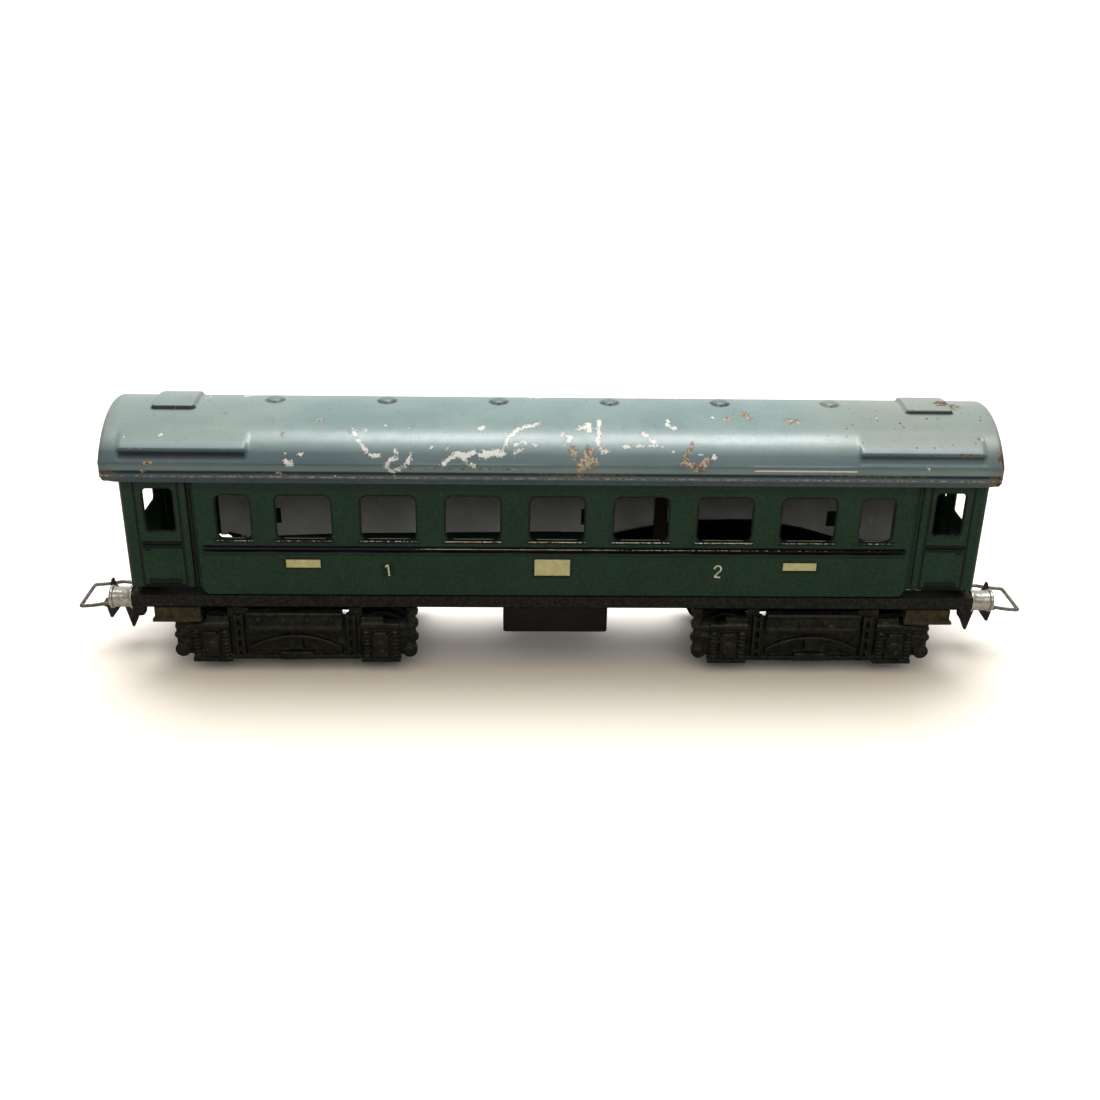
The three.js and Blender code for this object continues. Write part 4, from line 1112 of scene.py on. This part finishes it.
def end_wall(end):
    def place(a, b, inset):
        sign = ENDS[end]
        return np.stack([sign * (END_FACE - 0.2 + end_relief(a, b) - inset), sign * a, b], axis=-1)

    stops, b_stops = hole_stops(END_HOLES, 0), hole_stops(END_HOLES, 2)
    fine = [(stop, 0.6, 0.15) for stop in stops] + [(stop, 0.6, 0.14) for stop in END_DOOR[:2]]
    a_lines = lines(-END_HALF, END_HALF, 0.4, fine, stops)
    b_lines = lines(WALL_BOTTOM, END_SHEET_TOP, 0.4, [(stop, 0.6, 0.15) for stop in b_stops], b_stops)
    return pressed_sheet(f"end_pressing_{end}", a_lines, b_lines, place, END_HOLES, 0.3, end_warp, end_fields)


for end in ENDS:
    finish_piece(end_wall(end), "coach", "coach_green", f"end_wall_{end}")


# ---- plates and numerals on the sides ----

# Each numeral's place along X, and its stroke in its own height: across from its middle and up from its foot.
NUMERALS = {
    "1": (-32.4, [(-0.22, 0.78), (0.0, 0.98), (0.06, 0.0)]),
    "2": (31.3, [(-0.26, 0.72), (-0.22, 0.9), (-0.05, 1.0), (0.16, 0.97), (0.28, 0.8), (0.24, 0.6), (0.0, 0.34),
                 (-0.24, 0.04), (0.24, 0.02)]),
}
NUMERAL_Z = (21.4, 23.9)
NUMERAL_STROKE = 0.17


def plate(name, x, z, width, height):
    """A thin raised label with rounded corners and a soft edge."""
    def place(a, b, inset):
        near = rounded_distance(a, b, -width / 2, width / 2, -height / 2, height / 2, 0.25)
        lift = 0.10 * (1 - ramp(near, -0.22, 0.0)) + 0.02
        return np.stack([x + a, -(PROUD_Y + lift - inset), z + b], axis=-1)

    grid = [lines(-half, half, 0.35, mirrored((half, 0.4, 0.06))) for half in (width / 2, height / 2)]
    return pressed_sheet(name, *grid, place, thickness=0.1)


def numeral(text, side):
    """A stroke of paint, drawn as a flattened wire on the panel."""
    x, stroke = NUMERALS[text]
    foot, top = NUMERAL_Z
    points = [(x + u * (top - foot), 0.0, foot + v * (top - foot)) for u, v in stroke]
    piece = wire(f"numeral_{text}_{side}", points, NUMERAL_STROKE, sides=12, bend=0.35)
    for vertex in piece.data.vertices:
        vertex.co.y = -PROUD_Y * MM - 0.02 * MM + vertex.co.y * 0.25
    return piece


for side in SIDES:
    pieces = [(plate(f"plate_{side}_{number + 1}", *PLATES[number]), "plate") for number in range(len(PLATES))]
    pieces += [(numeral(text, side), "numeral") for text in NUMERALS]
    for piece, look in pieces:
        if side == "back":
            half_turn(piece)
        finish_piece(piece, "coach", look)


# ---- linings and what stands inside ----

LINING_SLOTS = [(-60.2, -57.2, 21.4, 24.8, 0.15), (5.9, 8.6, 21.4, 25.0, 0.15), (58.1, 60.8, 21.4, 24.9, 0.15)]

# Positions along the lining's bottom edge, and how far it is cut up at each.
LINING_EDGE = ([-70, -69.4, -68.2, -65.9, -65.5, -65.2, -64.9, -60, -45, 0, 25, 50, 60, 64.6, 65, 66, 66.4, 72],
               [0.5, 0.9, 1.4, 0.8, 0.1, 0.9, 0.2, 0.5, 1.2, 1.9, 1.7, 0.7, 0.1, 0.1, 0.8, 0.6, 0.1, 0])


def lining(side):
    low, high = node_mm(f"lining_{side}")
    inward = -SIDES[side]
    outer_y = (high if side == "back" else low)[1]
    bottom = low[2] + 0.7

    def place(a, b, inset):
        wave = 0.03 * np.sin(a * 0.35)
        return np.stack([a, outer_y + inward * (0.38 - inset + wave * (inset < 0.1)), b], axis=-1)

    def warp(a, b):
        """The bottom edge is cut higher along the middle, and is ragged near the ends."""
        return a, b + np.interp(a, *LINING_EDGE) * np.clip(1 - (b - bottom) / 3, 0, 1)

    def fields(a, b):
        """A scratch near the right-hand end."""
        return {"scratch": bump(a, 67.8, 0.12, 0.1) * bump(b, 22.9, 1.0, 0.3)}

    stops, b_stops = hole_stops(LINING_SLOTS, 0), hole_stops(LINING_SLOTS, 2)
    ragged = [(-67.3, 2.6, 0.25), (65.5, 1.2, 0.25), (67.8, 0.5, 0.1)]
    a_lines = lines(low[0], high[0], 1.2, [(s, 0.4, 0.2) for s in stops] + ragged, stops)
    b_lines = lines(bottom, high[2], 0.8, [(s, 0.4, 0.2) for s in b_stops], b_stops)
    return pressed_sheet(f"lining_sheet_{side}", a_lines, b_lines, place, LINING_SLOTS, 0.3, warp, fields)


for side in SIDES:
    finish_piece(lining(side), "coach", "lining_grey", f"lining_{side}")


# ---- plain pieces: the CAD's own solids with their edges rounded ----


def plain_piece(node, name, body, look, width, segments=3, angle=25):
    finish_piece(refine(node, name, width, segments, angle), body, look, node)


plain_piece("lamp_bracket", "lamp_bracket_plate", "coach", "bracket_paint", 0.1)
plain_piece("fibre_strip", "fibre_insulator", "coach", "fibre", 0.08)
plain_piece("underframe", "underframe_tray", "coach", "frame_paint", 0.16)
plain_piece("equipment_box", "equipment_box_pressing", "coach", "box_paint", 0.35, 4)
for end in ENDS:
    for side in SIDES:
        plain_piece(f"door_step_{side}_{end}", f"door_step_box_{side}_{end}", "coach", "step_brown", 0.14)


# ---- buffers, studs and rivets ----


def buffer(side, end):
    low, high = node_mm(f"buffer_{side}_{end}")
    y, z = ((low + high) / 2)[1:]
    face, root = (high[0], low[0]) if end == "right" else (-low[0], -high[0])
    disc = (high[2] - low[2]) / 2
    head = disc - 0.15
    profile = [(0, root), (disc, root), (disc, root + 0.55), (head - 0.25, root + 0.7), (head - 0.25, face - 0.75),
               (head, face - 0.7), (head, face - 0.12), (head - 0.4, face), (0, face)]
    obj = turned(f"buffer_turned_{side}_{end}", bent(profile, 0.14), "x", (0, y, z), 56)
    if end == "left":
        mirror(obj, 0)
    return obj


for end in ENDS:
    for side in SIDES:
        finish_piece(buffer(side, end), "coach", "zinc", f"buffer_{side}_{end}")

for end in ENDS:
    for kind, body in (("pivot_stud", "coach"), ("coupling_rivet", f"bogie_{end}")):
        plain_piece(f"{kind}_{end}", f"{kind}_turned_{end}", body, "zinc", 0.2, 3, 30)


# ---- wheelsets ----


def axle(label):
    low, high = node_mm(f"axle_{label}")
    tip = high[1]
    half = [(1.0, 0.0), (1.0, 10.6), (0.75, 10.6), (0.75, tip - 0.5), (0, tip)]
    profile = [(r, -d) for r, d in reversed(half)] + half[1:]
    return turned(f"axle_turned_{label}", bent(profile, 0.1, 2), "y", ((low[0] + high[0]) / 2, 0, AXLE_Z), 40)


def wheel(side, label):
    low, high = node_mm(f"wheel_{side}_{label}")
    inner, outer = (low[1], high[1]) if side == "back" else (-high[1], -low[1])
    tread = WHEEL_R - 0.8
    profile = [(1.2, 0), (2.3, 0), (2.5, 0.45), (4.5, 0.5), (4.8, 0.15), (WHEEL_R - 0.25, 0.15), (WHEEL_R, 0.4),
               (WHEEL_R - 0.15, 0.75), (tread + 0.15, 1.05), (tread, 1.3), (tread - 0.08, 2.7), (tread - 0.3, 2.8),
               (4.6, 2.8), (4.4, 2.15), (2.6, 2.05)]
    profile = [(r, inner + d) for r, d in profile]
    profile += [(2.3, outer - 0.1), (2.1, outer), (1.2, outer), (1.2, inner)]
    centre = ((low[0] + high[0]) / 2, 0, AXLE_Z)
    obj = turned(f"wheel_turned_{side}_{label}", bent(profile, 0.1, 2)[:-1], "y", centre, 72)
    if side == "front":
        mirror(obj, 1)
    return obj


for end in ENDS:
    for label in (f"{end}_outer", f"{end}_inner"):
        finish_piece(axle(label), f"wheelset_{label}", "steel", f"axle_{label}")
        for side in SIDES:
            finish_piece(wheel(side, label), f"wheelset_{label}", "wheel_black", f"wheel_{side}_{label}")


# ---- bogies ----

# What stands on each half of a side frame, each from and to outwards from the bogie's middle, then up, and how far
# out it comes: ribs and rungs of the column beside the spring, the pedestal with its axle box, and the frame's end.
HALF_BLOCKS = [
    (10.0, 10.6, 3.4, 12.6, 13.6), (11.3, 11.9, 3.4, 12.6, 13.6),
    *((10.1, 11.8, z, z + 0.8, 13.35) for z in (4.4, 6.8, 9.2, 11.4)),
    (12.9, 20.4, 2.3, 10.9, 13.1), (12.9, 17.2, 10.8, 12.1, 13.2), (12.8, 20.5, 9.8, 10.8, 13.75),
    (12.8, 20.5, 2.15, 3.0, 13.6), (15.0, 18.3, 3.6, 8.2, 14.0), (15.4, 17.9, 8.0, 9.0, 14.15),
    (20.4, 23.0, 4.6, 11.0, 12.9), (20.6, 23.5, 9.5, 10.3, 13.4), (20.6, 23.5, 7.7, 8.5, 13.4),
]
# Round bosses on each half: radius, outwards, up, how far out each starts and ends, and segments.
HALF_BOSSES = [(1.25, 16.6, 5.7, 12, 14.3, 22), (1.5, 22.4, 4.8, 11.8, 13.5, 20), (0.8, 22.4, 4.8, 11.8, 13.9, 16),
               (0.8, 23.0, 8.0, 11.8, 13.3, 14)]
# The middle beam with a moulding above and below, the spring's buckle, and the plank under the spring.
MIDDLE_BLOCKS = [(9.3, 9.4, 13.1, 13.5), (9.3, 12.4, 13.1, 13.85), (8.9, 9.1, 9.9, 13.75), (1.3, 5.3, 8.2, 13.95),
                 (12.9, 2.8, 3.7, 13.5), (3.2, 2.8, 4.4, 13.75)]
# The bowed leaves: underside at the ends, rise, thickness and how far out.
SPRING_LEAVES = [(3.6, 3.1, 0.75, 13.15), (4.35, 3.0, 0.7, 13.5), (5.15, 2.6, 0.5, 13.8)]
# The back plate; between beam and columns it is open at the inner end and filled at the outer.
BACK_BLOCKS = [(-23.6, 23.6, 3.5, 11.0), (-17.2, 17.2, 3.5, 12.1), (9.0, 10.4, 11.0, 13.6), (-13.2, -10.6, 11.0, 13.8),
               (10.0, 13.2, 11.0, 13.8)]
# The inner end's upright is knobbed on its outside: place along X, up and radius.
KNOBS = [(-23.3, 13.2, 0.9), (-23.2, 10.6, 1.0), (-23.4, 7.6, 0.8)]
FACE_Y = 11.8                   # what stands on a side frame starts here, inside the back plate


def block(bm, *ranges):
    """A box from its ranges along X, Y and Z."""
    xs, ys, zs = map(sorted, ranges)
    v = [bm.verts.new(Vector((x, y, z)) * MM) for x in xs for y in ys for z in zs]
    for face in ((0, 1, 3, 2), (4, 6, 7, 5), (0, 4, 5, 1), (2, 3, 7, 6), (0, 2, 6, 4), (1, 5, 7, 3)):
        bm.faces.new([v[k] for k in face])


def add_tube(bm, rows):
    for face in tube([[bm.verts.new(Vector(corner) * MM) for corner in row] for row in rows]):
        bm.faces.new(face)


def round_bar(bm, radius, axis, start, end, segments=20):
    """A round bar between two points that differ along one axis."""
    rows = []
    for x, y, z in (start, end):
        around = [(radius * u, radius * v) for u, v in circle(segments)]
        rows.append([(x, y + u, z + v) if axis == "x" else (x + u, y, z + v) if axis == "y" else (x + u, y + v, z)
                     for u, v in around])
    add_tube(bm, rows)


def arch_bar(bm, half, base, rise, thick, ys, steps=20):
    """A bowed leaf: its underside rises from base at both ends to base + rise in the middle."""
    y0, y1 = sorted(ys)
    rows = []
    for k in range(steps + 1):
        x = -half + 2 * half * k / steps
        z = base + rise * (1 - (x / half) ** 2)
        rows.append([(x, y0, z), (x, y1, z), (x, y1, z + thick), (x, y0, z + thick)])
    add_tube(bm, rows)


def bogie_side(bm, side):
    """One cast side frame about the bogie's pivot, for the right-hand bogie, whose inner end is at -X."""
    s = SIDES[side]

    def out(depth):
        return (s * FACE_Y, s * depth)

    def boss(radius, x, z, start, end, segments):
        round_bar(bm, radius, "y", (x, s * start, z), (x, s * end, z), segments)

    for x0, x1, z0, z1 in BACK_BLOCKS:
        block(bm, (x0, x1), (s * 11.7, s * 12.5), (z0, z1))
    for half, z0, z1, depth in MIDDLE_BLOCKS:
        block(bm, (-half, half), out(depth), (z0, z1))
    for x in (-7.2, -2.4, 2.4, 7.2):
        boss(0.5, x, 11.2, FACE_Y, 13.85, 12)
    for base, rise, thick, depth in SPRING_LEAVES:
        arch_bar(bm, 9.0, base, rise, thick, out(depth))
    for e in (-1, 1):
        for x0, x1, z0, z1, depth in HALF_BLOCKS:
            block(bm, (e * x0, e * x1), out(depth), (z0, z1))
        for radius, x, z, start, end, segments in HALF_BOSSES:
            boss(radius, e * x, z, start, end, segments)
        # the ribbed guides on both sides of the axle box
        for x in (e * 13.9, e * 19.5):
            ribs = [(0.95, 3.5 + k * 0.85, 3.92 + k * 0.85, 16) for k in range(7)]
            for radius, low, high, segments in ribs + [(0.55, 2.6, 9.9, 12)]:
                round_bar(bm, radius, "z", (x, s * 13.0, low), (x, s * 13.0, high), segments)
    block(bm, (-23.6, -22.0), out(12.9), (5.2, 14.0))
    for x, z, radius in KNOBS:
        boss(radius, x, z, FACE_Y, 13.2, 16)


def built(name, change):
    """A new object whose mesh is built by change, with its faces turned outwards."""
    obj = add_object(name, bpy.data.meshes.new(name))
    edit(obj.data, change)
    edit(obj.data, face_outwards)
    return obj


def bogie_casting():
    """The frame about its pivot, as it stands at the right-hand end: its blocks are fused, softened and bored."""
    def blocks(bm):
        for side in SIDES:
            bogie_side(bm, side)
        block(bm, (-19, 19), (-5.6, 5.6), (9.7, 11.4))
        block(bm, (-22, 22), (-2.4, 2.4), (9.7, 11.4))
        block(bm, (-6.5, 6.5), (-12, 12), (8.6, 11.4))
        for y in (-8.8, 8.8):
            block(bm, (-5.4, 5.4), (y - 1.4, y + 1.4), (7.9, 8.8))
        top = node_mm("bogie_frame_right")[1][2]
        round_bar(bm, 4.2, "z", (0, 0, 11), (0, 0, top - 0.02), 32)

    obj = built("bogie_casting_right", blocks)
    add_modifier(obj, "REMESH", mode="VOXEL", voxel_size=0.16 * MM)
    add_modifier(obj, "SMOOTH", factor=0.5, iterations=2)
    add_modifier(obj, "DECIMATE", ratio=0.45)
    apply_modifiers(obj)
    cut_bores(obj)
    obj.data.transform(Matrix.Translation((BOGIE_X * MM, 0, 0)))
    obj.data.shade_smooth()
    return obj


def cut_bores(obj):
    """Bores for the pivot stud, the coupling rivets and the axle journals."""
    bores = [("z", 1.5, (0, 0, 5), (0, 0, 20)), ("z", 2.6, (0, 0, 5), (0, 0, 9.7))]
    bores += [("z", 1.1, (x, 0, 5), (x, 0, 15)) for x in (-19.5, 19.5)]
    bores += [("y", 1.05, (x, s * 10.5, AXLE_Z), (x, s * 13.2, AXLE_Z)) for x in (-16.6, 16.6) for s in (-1, 1)]

    def bars(bm):
        for axis, radius, start, end in bores:
            round_bar(bm, radius, axis, start, end, 24)

    cutter = built("bores", bars)
    add_modifier(obj, "BOOLEAN", object=cutter, operation="DIFFERENCE", solver="EXACT", use_self=True)
    apply_modifiers(obj)
    bpy.data.objects.remove(cutter)


bogies = {"right": bogie_casting()}
bogies["left"] = add_object("bogie_casting_left", bogies["right"].data.copy())
half_turn(bogies["left"])
for end in ENDS:
    finish_piece(bogies[end], f"bogie_{end}", "bogie_casting", f"bogie_frame_{end}")


# ---- couplings ----

WIRE_R = 0.37
BAIL_TIP, BAIL_Y, _ = node_mm("coupling_bail_right")[1] - WIRE_R - 0.01


def bail(end):
    """The lifting wire loop, as seen at the right-hand end; turned half round for the left."""
    x, _, z = JOINT_POS["bail_lift_right"]
    half = [(x, 0.9, z), (x, BAIL_Y, z), (x + 2.9, BAIL_Y, z + 0.38), (x + 6.4, BAIL_Y, z - 0.2),
            (BAIL_TIP, BAIL_Y, z - 0.4)]
    turn = ENDS[end]
    points = [(turn * a, turn * b, c) for a, b, c in half + [(a, -b, c) for a, b, c in reversed(half)]]
    return wire(f"coupling_wire_{end}", points, WIRE_R)


for end in ENDS:
    finish_piece(bail(end), f"bail_{end}", "steel", f"coupling_bail_{end}")
    plain_piece(f"coupling_hook_{end}", f"coupling_hook_forged_{end}", f"coupling_{end}", "dark_steel", 0.14, 3, 30)


# ---- stage, light and camera ----


def floor():
    """White to the camera; to other rays it is greyer, as paper is that has been lightened in the print."""
    reach = 9000
    corners = [(-reach, -reach, 0), (reach, -reach, 0), (reach, reach, 0), (-reach, reach, 0)]
    obj = make_object("floor", corners, [(0, 1, 2, 3)])
    s = Shade("floor_white")
    seen = s.add("ShaderNodeLightPath").outputs["Is Camera Ray"]
    paper = s.mix(s.noise(400, 2), (0.87, 0.853, 0.815), (0.89, 0.873, 0.84))
    obj.data.materials.append(s.finish(s.mix(seen, (0.32, 0.31, 0.29), paper), 0.6))
    return obj


def world():
    """White behind the coach and above it, dark towards the camera."""
    world = bpy.data.worlds.new("studio")
    bpy.context.scene.world = world
    world.use_nodes = True
    tree = world.node_tree
    tree.nodes.clear()
    out, background, direction, texture, spread = (tree.nodes.new(kind) for kind in (
        "ShaderNodeOutputWorld", "ShaderNodeBackground", "ShaderNodeSeparateXYZ", "ShaderNodeTexCoord",
        "ShaderNodeMapRange"))
    spread.interpolation_type = "SMOOTHSTEP"
    for key, value in {"From Min": -0.3, "From Max": 0.6, "To Min": 0.10, "To Max": 0.85}.items():
        spread.inputs[key].default_value = value
    tree.links.new(texture.outputs["Generated"], direction.inputs[0])
    tree.links.new(direction.outputs["Y"], spread.inputs["Value"])
    tree.links.new(spread.outputs[0], background.inputs["Strength"])
    tree.links.new(background.outputs[0], out.inputs[0])


def add_light(name, kind, power, colour):
    data = bpy.data.lights.new(name, kind)
    data.energy = power
    data.color = colour
    return add_object(name, data)


def area_light(name, place, target, size, power, colour):
    obj = add_light(name, "AREA", power, colour)
    obj.data.shape = "RECTANGLE"
    obj.data.size, obj.data.size_y = size
    obj.location = place
    obj.rotation_euler = (Vector(target) - Vector(place)).to_track_quat("-Z", "Y").to_euler()
    return obj


def sun_light(name, strength, spread, back, colour=(1, 1, 1)):
    """A light from far above, leaning back by an angle; its spread softens the shadows. Angles are in degrees."""
    obj = add_light(name, "SUN", strength, colour)
    obj.data.angle = math.radians(spread)
    obj.rotation_euler = (-math.radians(back), 0, 0)
    obj.visible_glossy = False
    return obj


def lights(stage_floor):
    """One broad soft light from above and behind, three softboxes overhead for the gloss along the roof, one in front
    and above that reaches into the windows, and a warm fill that only the floor takes."""
    sun_light("broad_light", 3.3, 50, 24)
    for name, x, size, power in (("long", 0.08, (0.86, 0.24), 4.0), ("left", -0.07, (0.15, 0.14), 1.7),
                                 ("right", 0.19, (0.17, 0.14), 2.0)):
        softbox = area_light(f"roof_softbox_{name}", (x, -0.075, 0.9), (x, 0, 0), size, power, (0.97, 0.98, 1.0))
        softbox.visible_diffuse = False
    area_light("front_softbox", (0.1, -1.0, 0.75), (0, 0, 0.03), (1.2, 0.6), 3.6, (1.0, 0.985, 0.95))
    fill = sun_light("floor_fill", 1.55, 90, 0, (1.0, 0.80, 0.54))
    fill.data.use_shadow = False
    only_floor = bpy.data.collections.new("floor_only")
    only_floor.objects.link(stage_floor)
    fill.light_linking.receiver_collection = only_floor


def camera():
    """Placed where the photograph was taken from: above and in front of the coach, a little left of its middle."""
    data = bpy.data.cameras.new("camera")
    data.sensor_width = 36
    data.lens = 36 * 1272.3 / 1100
    data.clip_start = 0.01
    data.clip_end = 50
    obj = add_object("camera", data)
    turns = ((-1.68, "Z"), (90 - 24.64, "X"), (1.01, "Z"))      # yaw, pitch and roll, in degrees
    yaw, pitch, roll = (Matrix.Rotation(math.radians(degrees), 4, axis) for degrees, axis in turns)
    obj.matrix_world = Matrix.Translation(Vector((-7.80, -235.64, 128.90)) * MM) @ yaw @ pitch @ roll
    bpy.context.scene.camera = obj


stage_floor = floor()
world()
lights(stage_floor)
camera()
bpy.context.scene.view_settings.view_transform = "Standard"
